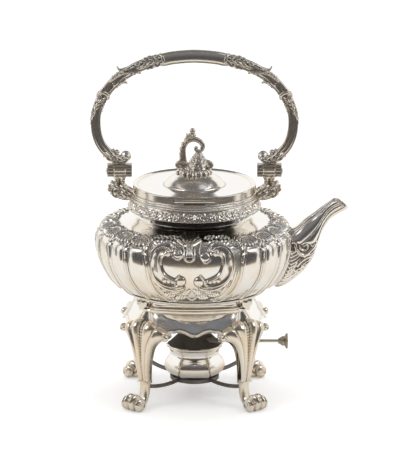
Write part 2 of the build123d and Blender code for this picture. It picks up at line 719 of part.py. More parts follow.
def make_regulator():
    """The sleeve with its rack, the pinion, the rod and the knob."""
    sleeve = pipe(sleeve_outer, sleeve_inner, sleeve_bottom_z, sleeve_top_z)
    pitch = math.pi * gear_module
    root_y = rack_pitch_y + tooth_root
    half_face = 2.0
    rack_back_y = -sleeve_inner - 0.6
    back = block((-half_face, root_y, sleeve_bottom_z), (half_face, rack_back_y, sleeve_top_z + 2.0))
    rack = back - Pos(0, 0, 55.0) * Cylinder(sleeve_inner, 30.0)
    for step in range(-4, 2):
        z = rod_z + (step + 0.5) * pitch
        tooth = Polyline(
            (-half_face, root_y, z - tooth_half_width * 1.7),
            (-half_face, root_y, z + tooth_half_width * 1.7),
            (-half_face, rack_pitch_y - tooth_reach, z + tooth_half_width * 0.5),
            (-half_face, rack_pitch_y - tooth_reach, z - tooth_half_width * 0.5),
            close=True,
        )
        rack = rack + extrude(make_face(tooth), amount=2 * half_face, dir=(1, 0, 0))
    save("wick_regulator", sleeve + rack)

    pinion = rod_along_x(-half_face, half_face + 1.0, rod_y, rod_z, pinion_radius - tooth_root)
    for step in range(pinion_teeth):
        tooth = Polyline(
            (-half_face, pinion_radius - tooth_root - 0.3, -tooth_half_width * 1.7),
            (-half_face, pinion_radius - tooth_root - 0.3, tooth_half_width * 1.7),
            (-half_face, pinion_radius + tooth_reach, tooth_half_width * 0.5),
            (-half_face, pinion_radius + tooth_reach, -tooth_half_width * 0.5),
            close=True,
        )
        solid = extrude(make_face(tooth), amount=2 * half_face, dir=(1, 0, 0))
        pinion = pinion + Pos(0, rod_y, rod_z) * Rot(360.0 * step / pinion_teeth, 0, 0) * solid
    save("regulator_pinion", pinion)

    rod_start = half_face + 1.0
    save("control_rod", rod_along_x(rod_start, rod_end_x, rod_y, rod_z, rod_radius))
    knob_length = knob_end_x - rod_end_x
    profile = [
        (0.0, 0.0), (2.6, 0.0), (2.3, 3.0), (3.4, 5.4), (6.4, 7.2),
        (knob_radius, 8.4), (knob_radius, 9.4), (5.0, knob_length), (0.0, knob_length),
    ]
    knob = Pos(rod_end_x, rod_y, rod_z) * Rot(0, 90, 0) * turned(profile)
    save("control_knob", knob)


def make_tilt_hinge(collar_filled):
    """Forked lugs on the stand, knuckles under the kettle, and the pins between them."""
    near0, near1, mid0, mid1, far0, far1 = tilt_lug_y
    bore = tilt_pin_radius + running_gap
    hinge, rest, knuckles, studs, pins = [], [], [], [], []
    for side in (-1, 1):
        for y0, y1 in ((near0, near1), (far0, far1)):
            a, b = sorted((side * y0, side * y1))
            ear = rod_along_y(a, b, tilt_x, tilt_z, tilt_knuckle_radius)
            ear = ear + block((46.0, a, 100.0), (tilt_x, b, tilt_z)) - collar_filled
            ear = ear.solids().sort_by(SortBy.VOLUME)[-1]
            hinge.append(ear - rod_along_y(a - 1, b + 1, tilt_x, tilt_z, bore))
            slot = rod_along_y(a - 1, b + 1, tilt_x, tilt_z, bore + 0.2)
            open_half = bore + 0.2
            slot = slot + block((tilt_x - open_half, a - 1, tilt_z), (tilt_x + open_half, b + 1, tilt_z + 5))
            rest.append(mirror(ear - slot, about=Plane.YZ))
        a, b = sorted((side * mid0, side * mid1))
        eye = rod_along_y(a, b, tilt_x, tilt_z, tilt_knuckle_radius)
        eye = eye + block((tilt_x - 2.4, a, tilt_z), (tilt_x + 2.4, b, base_ring_z))
        knuckles.append(eye - rod_along_y(a - 1, b + 1, tilt_x, tilt_z, bore))
        a, b = sorted((side * near0, side * far1))
        pin = rod_along_y(a, b, tilt_x, tilt_z, tilt_pin_radius)
        studs.append(mirror(eye + pin, about=Plane.YZ))
        head0, head1 = sorted((side * far1, side * (far1 + 1.4)))
        pins.append(pin + rod_along_y(head0, head1, tilt_x, tilt_z, 2.2))
    save("tilt_lugs", Compound(children=hinge))
    save("rest_lugs", Compound(children=rest))
    save("tilt_knuckles", Compound(children=knuckles))
    save("rest_studs", Compound(children=studs))
    save("tilt_pins", Compound(children=pins))


def main():
    os.makedirs("parts", exist_ok=True)
    rim = make_kettle_shell()
    make_handle_lugs(rim)
    make_lid()
    make_handle()
    skirt_filled, collar_filled = make_stand_top()
    legs = make_legs(skirt_filled)
    make_lamp_holder(legs)
    make_lamp()
    make_tilt_hinge(collar_filled)


main()
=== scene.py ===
import json
import math

import bmesh
import bpy
import numpy as np
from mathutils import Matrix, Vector


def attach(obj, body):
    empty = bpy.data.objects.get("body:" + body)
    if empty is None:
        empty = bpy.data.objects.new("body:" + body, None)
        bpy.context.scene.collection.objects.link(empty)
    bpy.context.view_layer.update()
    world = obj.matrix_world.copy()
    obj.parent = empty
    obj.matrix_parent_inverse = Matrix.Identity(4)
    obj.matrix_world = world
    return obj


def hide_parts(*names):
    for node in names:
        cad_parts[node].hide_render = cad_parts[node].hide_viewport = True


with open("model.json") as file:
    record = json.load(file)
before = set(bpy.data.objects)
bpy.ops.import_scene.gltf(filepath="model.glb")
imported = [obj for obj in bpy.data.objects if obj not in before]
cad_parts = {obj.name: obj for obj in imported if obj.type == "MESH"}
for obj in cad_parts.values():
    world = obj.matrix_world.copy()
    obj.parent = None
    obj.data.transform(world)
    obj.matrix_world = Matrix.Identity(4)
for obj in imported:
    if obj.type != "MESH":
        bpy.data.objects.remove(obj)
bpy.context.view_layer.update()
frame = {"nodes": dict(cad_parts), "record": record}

bl_info = {
    "name": "Silver Spirit Kettle",
    "version": (1, 0, 0),
    "blender": (4, 5, 0),
    "location": "View3D > Sidebar > Kettle",
    "description": "Builds the looks of a lobed silver kettle, its stand and its spirit lamp",
    "category": "Add Mesh",
}

# Lengths are in millimetres up to a piece's finish, and on the stage in metres

MM = 0.001
TURN = 2.0 * math.pi
TINY = 1e-6
X, Y, Z = (1, 0, 0), (0, 1, 0), (0, 0, 1)
PATINA_PASSES = (2, 8, 23)
METAL = {}


# Curves and small sums

def smooth_path(points, count):
    """A smooth curve through the given points, as count points."""
    knots = np.array(points, float)
    ends = np.vstack([2 * knots[0] - knots[1], knots, 2 * knots[-1] - knots[-2]])
    place = np.linspace(0, len(knots) - 1, count)
    index = np.minimum(place.astype(int), len(knots) - 2)
    f = (place - index)[:, None]
    a, b, c, d = (ends[index + step] for step in range(4))
    return 0.5 * (2 * b + (c - a) * f + (2 * a - 5 * b + 4 * c - d) * f**2 + (3 * b - a - 3 * c + d) * f**3)


def distances(line):
    """How far each point of a line is from its start, measured along it."""
    return np.concatenate([[0.0], np.cumsum(np.linalg.norm(np.diff(line, axis=0), axis=1))])


def even_path(points, count):
    """The smooth curve again, with its points evenly spaced. Returns them and the length."""
    dense = smooth_path(points, 40 * len(points))
    run = distances(dense)
    wanted = np.linspace(0.0, run[-1], count)
    return np.stack([np.interp(wanted, run, column) for column in dense.T], axis=1), run[-1]


def sample(line, share):
    """The columns of a line of points, read at shares from 0 at its first point to 1 at its last."""
    line = np.asarray(line, float)
    place = share * (len(line) - 1)
    return [np.interp(place, np.arange(len(line)), column) for column in line.T]


def ramp(value, start, end):
    """0 before start, 1 after end, and smooth between."""
    share = np.clip((value - start) / (end - start), 0.0, 1.0)
    return share * share * (3.0 - 2.0 * share)


def bump(value, centre, width):
    """1 at the centre, and down to 0 smoothly on both sides."""
    return np.exp(-(((value - centre) / width) ** 2))


def half_round(value):
    """1 at 0, and down to 0 at 1 as a quarter circle."""
    return np.sqrt(np.maximum(0.0, 1.0 - value**2))


def arch(share, start, width, power=1.0):
    """A sine arch over a share that runs 0 to 1, entered at start."""
    return np.sin(np.pi * (start + width * share)) ** power


def unit(vectors):
    return vectors / np.maximum(np.linalg.norm(vectors, axis=-1, keepdims=True), 1e-12)


def mirrored(sign, points):
    """Points of a flat drawing, on the other side where sign is -1."""
    return [(sign * a, b) for a, b in points]


def around(radius, turn, height):
    """Points round the upright axis. A turn of 0 is at the front and a quarter turn towards the spout."""
    return np.stack([radius * np.sin(turn), -radius * np.cos(turn), height], axis=1)


def spiral(centre, radius, turns, start, inner=0.22, count=60):
    """Points of a plane spiral that winds inwards. start is the angle of its outer end in degrees."""
    share = np.linspace(0.0, 1.0, count)
    angle = math.radians(start) + share * turns * TURN
    reach = radius * (1.0 - (1.0 - inner) * share**0.85)
    return np.stack([centre[0] + reach * np.cos(angle), centre[1] + reach * np.sin(angle)], axis=1)


class Chasing:
    """Raised work on a sheet of metal: the place u, v of each vertex on it, and the height so far."""

    def __init__(self, u, v):
        self.u, self.v = np.asarray(u, float), np.asarray(v, float)
        self.height = np.zeros_like(self.u)

    def near(self, points, reach):
        """The vertices within reach of a line, their distance from it and the share along it."""
        line = np.asarray(points, float)
        low, high = line.min(0) - reach, line.max(0) + reach
        pick = np.flatnonzero((self.u > low[0]) & (self.u < high[0]) & (self.v > low[1]) & (self.v < high[1]))
        spot = np.stack([self.u[pick], self.v[pick]], axis=1)
        best, share = np.full(len(pick), np.inf), np.zeros(len(pick))
        run = distances(line)
        for index in range(len(line) - 1):
            start, step = line[index], line[index + 1] - line[index]
            size = max(float(step @ step), 1e-12)
            along = np.clip(((spot - start) @ step) / size, 0.0, 1.0)
            distance = np.hypot(*(spot - (start + along[:, None] * step)).T)
            closer = distance < best
            best[closer] = distance[closer]
            share[closer] = (run[index] + along[closer] * math.sqrt(size)) / run[-1]
        return pick, best, share

    def raise_to(self, pick, height):
        self.height[pick] = np.maximum(self.height[pick], height)

    def ridge(self, points, width, height, ends=(1.0, 1.0), smooth=True):
        """A rounded ridge along a line. ends are its width at the start and end, as shares of width."""
        line = smooth_path(points, 10 * len(points)) if smooth and len(points) > 2 else points
        pick, distance, share = self.near(line, width)
        size = width * (ends[0] + (ends[1] - ends[0]) * share)
        across = np.clip(distance / np.maximum(size, 0.05), 0.0, 1.0)
        self.raise_to(pick, height * half_round(across) * (size / width) ** 0.7)

    def channel(self, points, width, height, rim):
        """A hollow band along a line, between two raised rims; it narrows at both ends."""
        pick, distance, share = self.near(smooth_path(points, 10 * len(points)), width + rim)
        size = width * (0.45 + 0.55 * np.sin(np.pi * np.clip(share, 0.0, 1.0)) ** 0.6)
        hollow = height * (0.10 + 0.90 * np.clip(distance / size, 0.0, 1.0) ** 2)
        self.raise_to(pick, hollow * half_round(np.maximum(distance - size, 0.0) / rim))

    def boss(self, centre, radius, height, hollow=0.0):
        """A round button, with a dimple in it where hollow is given."""
        distance = np.hypot(self.u - centre[0], self.v - centre[1]) / radius
        pick = np.flatnonzero(distance < 1.0)
        self.raise_to(pick, height * (half_round(distance[pick]) - hollow * bump(distance[pick], 0.0, 0.45)))

    def scroll(self, centre, radius, turns, start, width, height):
        """A volute: a ridge that winds inwards to a button."""
        self.ridge(spiral(centre, radius, turns, start), width, height, (1.0, 0.6), smooth=False)
        self.boss(centre, 0.30 * abs(radius), height)

    def leaf(self, root, tip, width, height, lobes=4, curl=0.0):
        """An acanthus leaf from root to tip with a vein and lobed edges; curl bends it sideways."""
        root, tip = np.array(root, float), np.array(tip, float)
        along = tip - root
        size = np.linalg.norm(along)
        across = np.array([-along[1], along[0]]) / size
        spine = [root, root + along * 0.5 + across * curl * size * 0.25, tip + across * curl * size * 0.12]
        pick, distance, share = self.near(smooth_path(spine, 24), width * 1.3)
        lobe = 0.5 + 0.5 * np.cos(TURN * lobes * (share + 0.22 * distance / width))
        edge = width * np.sin(np.pi * np.clip(share * 0.92 + 0.08, 0, 1)) ** 0.75 * (0.72 + 0.36 * lobe)
        inside = np.clip(1.0 - distance / np.maximum(edge, 0.05), 0.0, 1.0)
        vein = 0.35 * bump(distance, 0.0, 0.16 * width) * (inside > 0)
        self.raise_to(pick, height * (inside**0.45 * (0.62 + 0.38 * lobe) + vein))


# Mesh pieces

def at(size, share):
    """A size along a form: one number, or a function of the share along it."""
    return size(share) if callable(size) else np.full_like(share, size)


def new_object(name, bm, material):
    """Turns a bmesh into an object of the scene."""
    mesh = bpy.data.meshes.new(name)
    bm.to_mesh(mesh)
    bm.free()
    mesh.materials.append(material)
    made = bpy.data.objects.new(name, mesh)
    bpy.context.scene.collection.objects.link(made)
    return made


class Piece:
    """One piece under construction, in millimetres. Grids and spins are added to a single bmesh."""

    def __init__(self):
        self.bm = bmesh.new()

    def grid(self, columns, rows, place):
        """Adds a sheet of columns by rows faces. place(s, t) gives its vertices, for s and t from 0 to 1."""
        made = bmesh.ops.create_grid(self.bm, x_segments=columns, y_segments=rows, size=0.5)["verts"]
        flat = np.array([vertex.co for vertex in made])
        spots = place(np.clip(flat[:, 0] + 0.5, 0, 1), np.clip(flat[:, 1] + 0.5, 0, 1))
        for vertex, spot in zip(made, spots):
            vertex.co = spot
        return self

    def spun(self, profile, steps=128, axis=Z, centre=(0, 0, 0), side=X):
        """Turns a line of (radius, height) points about an axis."""
        axis, side, centre = Vector(axis), Vector(side), Vector(centre)
        made = [self.bm.verts.new(centre + side * radius + axis * height) for radius, height in profile]
        edges = [self.bm.edges.new(pair) for pair in zip(made[:-1], made[1:])]
        bmesh.ops.spin(self.bm, geom=made + edges, cent=centre, axis=axis, dvec=(0, 0, 0), angle=TURN,
                       steps=steps, use_merge=True, use_duplicate=False)
        return self

    def sweep(self, path, half_width, half_height, sides=16, rings=60, power=1.0, relief=None, side=Y,
              cap=True):
        """A closed form along a path, whose points are (x, z) where y is 0. side is the way its width runs.
        The sizes are numbers or functions of the share along it. A power below 1 squares the section off,
        and relief(around, along) adds height."""
        path = np.array(path, float)
        if path.shape[1] == 2:
            path = np.insert(path, 1, 0.0, axis=1)
        line, _ = even_path(path, 8 * rings)
        slope = unit(np.gradient(line, axis=0))
        up = unit(np.cross(np.broadcast_to(np.array(side, float), line.shape), slope))
        width_way = np.cross(slope, up)

        def place(s, t):
            closing = (t < TINY) | (t > 1 - TINY)
            if cap:
                t = np.clip((t * rings - 1.0) / (rings - 2.0), 0.0, 1.0)
            centre, across, over = (np.stack(sample(values, t), axis=1) for values in (line, width_way, up))
            raised = relief(s, t) if relief else 0.0
            wide, high = at(half_width, t) + raised, at(half_height, t) + raised
            if cap:
                wide, high = np.where(closing, 0.0, wide), np.where(closing, 0.0, high)
            c, n = np.cos(s * TURN), np.sin(s * TURN)
            c, n = np.sign(c) * np.abs(c) ** power, np.sign(n) * np.abs(n) ** power
            return centre + across * (wide * c)[:, None] + over * (high * n)[:, None]

        return self.grid(sides, rings, place)

    def ball(self, centre, sizes, segments=20, rings=12):
        """A rounded lump with three half sizes."""
        made = bmesh.ops.create_uvsphere(self.bm, u_segments=segments, v_segments=rings, radius=1.0)["verts"]
        for vertex in made:
            vertex.co = Vector(centre) + Vector([a * b for a, b in zip(vertex.co, sizes)])
        return self

    def moved(self, change):
        """Applies change(points) to every vertex so far."""
        spots = change(np.array([vertex.co for vertex in self.bm.verts]))
        for vertex, spot in zip(self.bm.verts, spots):
            vertex.co = spot
        return self

    def cut_notch(self, low, high):
        """Cuts a box out of the piece and closes the walls that it leaves."""
        for axis, normal in enumerate((X, Y, Z)):
            for level in (low[axis], high[axis]):
                geometry = self.bm.verts[:] + self.bm.edges[:] + self.bm.faces[:]
                bmesh.ops.bisect_plane(self.bm, geom=geometry, dist=1e-5, plane_co=[level] * 3,
                                       plane_no=normal)
        inside = [face for face in self.bm.faces
                  if all(a < b < c for a, b, c in zip(low, face.calc_center_median(), high))]
        bmesh.ops.delete(self.bm, geom=inside, context="FACES")
        bmesh.ops.remove_doubles(self.bm, verts=self.bm.verts, dist=1e-4)
        open_edges = [edge for edge in self.bm.edges if edge.is_boundary]
        bmesh.ops.holes_fill(self.bm, edges=open_edges, sides=0)
        return self

    def finish(self, name, body, wear, replaces=(), smooth_angle=None, slot="silver"):
        """Merges seams, turns the faces outwards and makes the object, with the finish METAL[wear]."""
        bmesh.ops.remove_doubles(self.bm, verts=self.bm.verts, dist=1e-4)
        bmesh.ops.dissolve_degenerate(self.bm, edges=self.bm.edges, dist=1e-5)
        bmesh.ops.recalc_face_normals(self.bm, faces=self.bm.faces)
        bmesh.ops.scale(self.bm, vec=(MM, MM, MM), verts=self.bm.verts)
        made = new_object(name, self.bm, METAL[wear])
        made.data.polygons.foreach_set("use_smooth", np.ones(len(made.data.polygons), bool))
        if smooth_angle is not None:
            made.data.set_sharp_from_angle(angle=math.radians(smooth_angle))
        mark_patina(made.data)
        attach(made, body)
        if replaces:
            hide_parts(*replaces)
        return made


def mark_patina(mesh):
    """Writes the patina attribute: 0.5 on plain metal, towards 1 in hollows and towards 0 on worn edges. It
    compares each vertex with its place after a few, some and many rounds of smoothing."""
    count = len(mesh.vertices)
    spots, normals = np.zeros((2, count * 3), np.float32)
    mesh.vertices.foreach_get("co", spots)
    mesh.vertex_normals.foreach_get("vector", normals)
    spots, normals = spots.reshape(-1, 3).astype(float), normals.reshape(-1, 3)
    edges = np.zeros(len(mesh.edges) * 2, np.int32)
    mesh.edges.foreach_get("vertices", edges)
    a, b = edges.reshape(-1, 2).T
    links = np.maximum(np.bincount(a, minlength=count) + np.bincount(b, minlength=count), 1)
    moved = spots.copy()
    hollow = np.zeros(count)
    for step in range(PATINA_PASSES[-1] + 1):
        total = np.stack([np.bincount(a, moved[b, k], count) + np.bincount(b, moved[a, k], count)
                          for k in range(3)], axis=1)
        moved = 0.5 * moved + 0.5 * total / links[:, None]
        if step in PATINA_PASSES:
            hollow += np.einsum("ij,ij->i", moved - spots, normals) / MM
    value = 0.5 + 0.5 * np.tanh(1.6 * hollow)
    layer = mesh.attributes.new("patina", "FLOAT", "POINT")
    layer.data.foreach_set("value", value.astype(np.float32))


# Materials

class Value:
    """A socket in a node tree, so that sums on it can be written as plain expressions."""

    def __init__(self, maker, socket):
        self.maker, self.socket = maker, socket

    def maths(self, operation, *values):
        return self.maker.add("ShaderNodeMath", {"operation": operation}, values)

    def __add__(self, other):
        return self.maths("ADD", self, other)

    def __sub__(self, other):
        return self.maths("SUBTRACT", self, other)

    def __rsub__(self, other):
        return self.maths("SUBTRACT", other, self)

    def __mul__(self, other):
        return self.maths("MULTIPLY", self, other)

    def __truediv__(self, other):
        return self.maths("DIVIDE", self, other)

    def clamped(self):
        return self.maker.add("ShaderNodeClamp", {}, (self,))

    __radd__ = __add__
    __rmul__ = __mul__


class Nodes:
    """Adds nodes to one tree."""

    def __init__(self, tree):
        self.tree = tree

    def add(self, kind, settings, values, output=0):
        """Adds a node with its settings and the values or links of its inputs, and returns one output."""
        node = self.tree.nodes.new(kind)
        for key, value in settings.items():
            if key == "stops":
                self.set_stops(node, value)
            else:
                setattr(node, key, value)
        for key, value in values.items() if isinstance(values, dict) else enumerate(values):
            self.join(node.inputs[key], value)
        return Value(self, node.outputs[output])

    @staticmethod
    def set_stops(node, stops):
        ramp_stops = node.color_ramp.elements
        while len(ramp_stops) < len(stops):
            ramp_stops.new(0.5)
        for stop, (position, colour) in zip(ramp_stops, stops):
            stop.position, stop.color = position, colour

    def join(self, socket, value):
        if isinstance(value, Value):
            self.tree.links.new(value.socket, socket)
        elif value is not None:
            socket.default_value = value

    def ray(self, kind):
        """1 for rays of a kind, such as Is Camera Ray."""
        return self.add("ShaderNodeLightPath", {}, (), kind)


class Maker(Nodes):
    """Builds one material's nodes around its Principled shader."""

    def __init__(self, name):
        self.material = bpy.data.materials.new(name)
        self.material.use_nodes = True
        super().__init__(self.material.node_tree)
        self.shader = self.tree.nodes["Principled BSDF"]
        self.place = self.add("ShaderNodeTexCoord", {}, (), "Object")

    def along(self, axis):
        """The place along X, Y or Z, in metres."""
        return self.add("ShaderNodeSeparateXYZ", {}, (self.place,), axis)

    def noise(self, scale, detail=4.0, roughness=0.55, stretch=None):
        place = self.place
        if stretch is not None:
            place = self.add("ShaderNodeMapping", {}, {"Vector": place, "Scale": stretch})
        values = {"Vector": place, "Scale": scale, "Detail": detail, "Roughness": roughness}
        return self.add("ShaderNodeTexNoise", {}, values, "Fac")

    def patina(self):
        return self.add("ShaderNodeAttribute", {"attribute_name": "patina"}, (), "Fac")

    def blend(self, share, first, second):
        return self.add("ShaderNodeMix", {"data_type": "RGBA"}, {0: share, 6: first, 7: second}, 2)

    def steps(self, value, low, high):
        """value spread from low..high to 0..1."""
        return self.add("ShaderNodeMapRange", {"interpolation_type": "SMOOTHSTEP"}, (value, low, high))

    def bumped(self, height, strength, distance):
        return self.add("ShaderNodeBump", {}, {"Height": height, "Strength": strength, "Distance": distance})

    def finish(self, colour, roughness, metallic=1.0, normal=None, **rest):
        """Joins the shader's sockets. rest are further ones, named with underscores for spaces."""
        values = {"Base Color": colour, "Roughness": roughness, "Metallic": metallic, "Normal": normal}
        values.update({key.replace("_", " "): value for key, value in rest.items()})
        for key, value in values.items():
            self.join(self.shader.inputs[key], value)
        return self.material


def rgba(colour, level=1.0):
    return (colour[0] * level, colour[1] * level, colour[2] * level, 1.0)


HONEY = (0.98, 0.89, 0.75)


def silver(name, bright, tarnish, hollow_range, shine, tint, wave=0.0):
    """Polished silver with brown tarnish in its hollows, faint warm stains and fine wiping marks. tint is the
    strength of the stains, and wave makes the surface uneven."""
    make = Maker(name)
    patina = make.patina()
    stains = make.steps(make.noise(30.0, 5.0), 0.42, 0.72)
    specks = make.steps(make.noise(900.0, 3.0, 0.6), 0.55, 0.8)
    hollow = make.steps(patina + 0.10 * (make.noise(260.0) - 0.5), *hollow_range)
    worked = make.steps((patina - 0.5) * (patina - 0.5), 0.0004, 0.03)
    dark = (0.86 * hollow + 0.10 * specks * patina).clamped()
    honey = [a * b for a, b in zip(bright, HONEY)]
    warm = make.blend((tint * stains + 0.34 * worked).clamped(), rgba(bright), rgba(honey))
    wiping = make.noise(520.0, 3.0, 0.5, (1.0, 1.0, 0.25))
    roughness = shine + 0.05 * stains + 0.04 * wiping + 0.10 * worked + 0.28 * dark
    normal = make.bumped(0.05 * wiping + wave * make.noise(55.0, 1.5), 0.25, 0.0006)
    return make.finish(make.blend(dark, warm, rgba(tarnish)), roughness.clamped(), 1.0, normal)


def painted_dark_neck(name, bright, tarnish):
    """Silver with a painted dark reflection of the room in front and behind, and painted shade under the
    border, at front and back; bright beside the hinge lugs.
    """
    make = Maker(name)
    y = make.along("Y")
    uneven = 0.006 * (make.noise(70.0, 3.0) - 0.5)
    # painted dark reflection: darker where the neck faces the front or the back, set by its place along Y
    reflection_front_back = make.steps(y * y + 0.2 * uneven, 0.034**2, 0.0406**2)
    # painted shade: darker towards the top of the neck, under the border
    low = make.steps(make.along("Z") + uneven, 0.1850, 0.1880)
    streak = make.noise(300.0, 4.0, 0.6, (1.0, 1.0, 3.0))
    dark = (reflection_front_back * (0.35 + 0.65 * low) * (0.80 + 0.35 * streak)).clamped()
    colour = make.blend(dark, rgba(bright), rgba(tarnish))
    return make.finish(colour, 0.08 + 0.22 * dark + 0.05 * streak, 1.0, make.bumped(streak, 0.2, 0.0003))


def oxidised(name, light, dark, shine, metallic):
    """A dark worn metal with blotches and a fine grain."""
    make = Maker(name)
    blotch = make.steps(make.noise(105.0, 5.0), 0.35, 0.70)
    grain = make.noise(1680.0, 2.0)
    worn = make.steps(1.0 - make.patina(), 0.55, 0.95)
    colour = make.blend((0.7 * blotch + 0.8 * worn).clamped(), rgba(dark), rgba(light))
    roughness = shine + 0.18 * (1.0 - blotch) + 0.08 * grain
    return make.finish(colour, roughness, metallic, make.bumped(grain + 2.0 * blotch, 0.3, 0.0002))


def cotton(name, colour):
    """The plaited end of the wick, scorched at the top."""
    make = Maker(name)
    weave = make.add("ShaderNodeTexWave", {"bands_direction": "DIAGONAL"},
                     {"Vector": make.place, "Scale": 420.0, "Distortion": 1.5})
    burnt = make.steps(make.along("Z") + 0.002 * make.noise(600.0), 0.0640, 0.0672)
    shade = make.blend(0.5 * weave, rgba(colour), rgba(colour, 0.55))
    shade = make.blend(burnt, shade, (0.02, 0.018, 0.016, 1.0))
    return make.finish(shade, 0.95, 0.0, make.bumped(weave, 0.8, 0.0004))


def make_materials(look):
    """All finishes, kept in METAL."""
    bright, tarnish = np.array(look.silver_colour), look.tarnish_colour
    for key, name, colour, dark, hollow_range, shine, tint, wave in (
            ("body", "chased_silver", bright, tarnish, (0.56, 0.92), 0.09, 0.35, 0.0),
            ("plain", "plain_silver", bright, tarnish, (0.62, 1.0), 0.07, 0.30, 0.4),
            ("cast", "cast_silver", bright * (0.86, 0.85, 0.84), tarnish, (0.52, 0.88), 0.13, 0.5, 0.6),
            ("cast_leg", "leg_silver", bright * (0.95, 0.93, 0.90), tarnish, (0.56, 0.92), 0.11, 0.5, 0.5),
            ("rod", "rod_silver", (0.72, 0.69, 0.64), tarnish, (0.5, 0.9), 0.16, 0.6, 0.0),
            # the hinge knuckles get a darker copy of the silver as painted dark reflection; the tarnish in
            # their hollows is patina
            ("barrel", "painted_dark_knuckle_silver", (0.50, 0.47, 0.44), (0.10, 0.085, 0.07), (0.5, 0.9), 0.17, 0.6, 2.5),
            ("knob", "tarnished_knob", (0.52, 0.48, 0.42), (0.09, 0.075, 0.06), (0.5, 0.9), 0.2, 0.7, 0.0)):
        METAL[key] = silver(name, colour, dark, hollow_range, shine, tint, wave)
    for key, name, light, dark, shine, metallic in (
            ("foot", "lamp_foot", (0.42, 0.33, 0.24), (0.16, 0.12, 0.09), 0.30, 1.0),
            ("inner", "inner_silver", (0.55, 0.52, 0.47), (0.30, 0.27, 0.24), 0.30, 1.0),
            ("bars", "dark_bars", (0.22, 0.20, 0.19), (0.06, 0.055, 0.055), 0.32, 0.9),
            ("cone", "blackened_cap", (0.09, 0.08, 0.07), (0.018, 0.016, 0.015), 0.42, 0.4),
            ("brass", "dull_brass", (0.66, 0.50, 0.27), (0.38, 0.27, 0.13), 0.28, 1.0)):
        METAL[key] = oxidised(name, light, dark, shine, metallic)
    # the neck's near-black colour is painted dark reflection and painted shade
    METAL["neck"] = painted_dark_neck("neck_silver_painted_reflection", bright, (0.075, 0.065, 0.055))
    METAL["wick"] = cotton("wick_cotton", (0.75, 0.70, 0.60))


# Settings

def colour_setting(name, description, default):
    return bpy.props.FloatVectorProperty(
        name=name, description=description, subtype="COLOR", size=3, default=default, min=0.0, max=1.0)


class KettleLook(bpy.types.PropertyGroup):
    """Colours of the silver, and sizes and counts of its ornament."""
    silver_colour: colour_setting("Silver", "Colour of the polished silver", (0.95, 0.925, 0.885))
    tarnish_colour: colour_setting("Tarnish", "Colour of the tarnish in the hollows", (0.17, 0.125, 0.08))
    grip_height: bpy.props.FloatProperty(
        name="Grip height", description="Height of the handle's plain grip, from its lower to its upper edge",
        subtype="DISTANCE", default=0.0138, min=0.008, max=0.018)
    border_motifs: bpy.props.IntProperty(
        name="Border motifs", description="Repeats of the scrolls round the mouth", default=20, min=8, max=40)
    foot_beads: bpy.props.IntProperty(
        name="Foot beads", description="Beads on the ring round the kettle's base", default=180,
        min=40, max=360)
    petals: bpy.props.IntProperty(
        name="Petals", description="Petals of the fringe under the finial", default=16, min=6, max=24)


class StageSettings(bpy.types.PropertyGroup):
    """Light, floor and camera round the kettle."""
    floor_colour: colour_setting("Floor", "Colour of the floor", (0.90, 0.90, 0.90))
    dark_colour: colour_setting("Dark cards", "Colour of the dark room that the silver reflects",
                                (0.078, 0.080, 0.086))
    warm_floor: colour_setting("Warm floor", "Colour of the floor as the silver mirrors it",
                               (0.90, 0.84, 0.74))
    card_distance: bpy.props.FloatProperty(
        name="Card distance", description="Radius of the dark cards round the kettle", subtype="DISTANCE",
        default=0.56)
    camera_rise: bpy.props.FloatProperty(
        name="Camera rise", description="How far above level the camera looks down", subtype="ANGLE",
        default=math.radians(15.0))


SLOT_WEAR = {"silver": "plain", "dark_iron": "bars", "blackened": "cone", "brass": "brass", "knob": "knob",
             "wick": "wick"}
NODE_WEAR = {"control_rod": "rod", "rod_bush": "bars", "lamp_ring": "bars", "lamp_base": "foot"}


class KETTLE_OT_finishes(bpy.types.Operator):
    """Make the silver, brass, blackened and cotton finishes and put them on the frame"""
    bl_idname = "kettle.finishes"
    bl_label = "Finishes"
    bl_options = {"REGISTER", "UNDO"}

    def execute(self, context):
        make_materials(context.scene.kettle_look)
        slots = {part["node"]: part["material_slot"] for part in frame["record"]["subparts"]}
        for node, made in frame["nodes"].items():
            made.data.materials.clear()
            made.data.materials.append(METAL[NODE_WEAR.get(node, SLOT_WEAR[slots[node]])])
        return {"FINISHED"}


# The kettle's body, in nominal angles: 0 at the middle of the front panel, 90 towards the spout. PANEL is
# half a panel's angle and LOBE a lobe's. SHOULDER is the hoods' foot, measured up the body's course

PANEL = 28.0
LOBE = 15.5
LOBE_DEPTH = 4.0
EDGE_TURNED_IN = -2.6
BODY_LINE = [(74.5, 115), (80, 118.4), (87, 125.1), (92, 132.9), (96.4, 141.9), (99, 150.8), (99.7, 158.7),
             (99.1, 165.4), (97.0, 171), (91.5, 175.6), (81, 179.2), (67, 181.9), (59, 185)]
BODY_PATH, BODY_LENGTH = even_path(BODY_LINE, 400)
BODY_COURSE = np.hstack([BODY_PATH, unit(np.gradient(BODY_PATH, axis=0))])
SHOULDER = 61.0
SIGHT_UP, SIGHT_AWAY = 0.966, 0.259

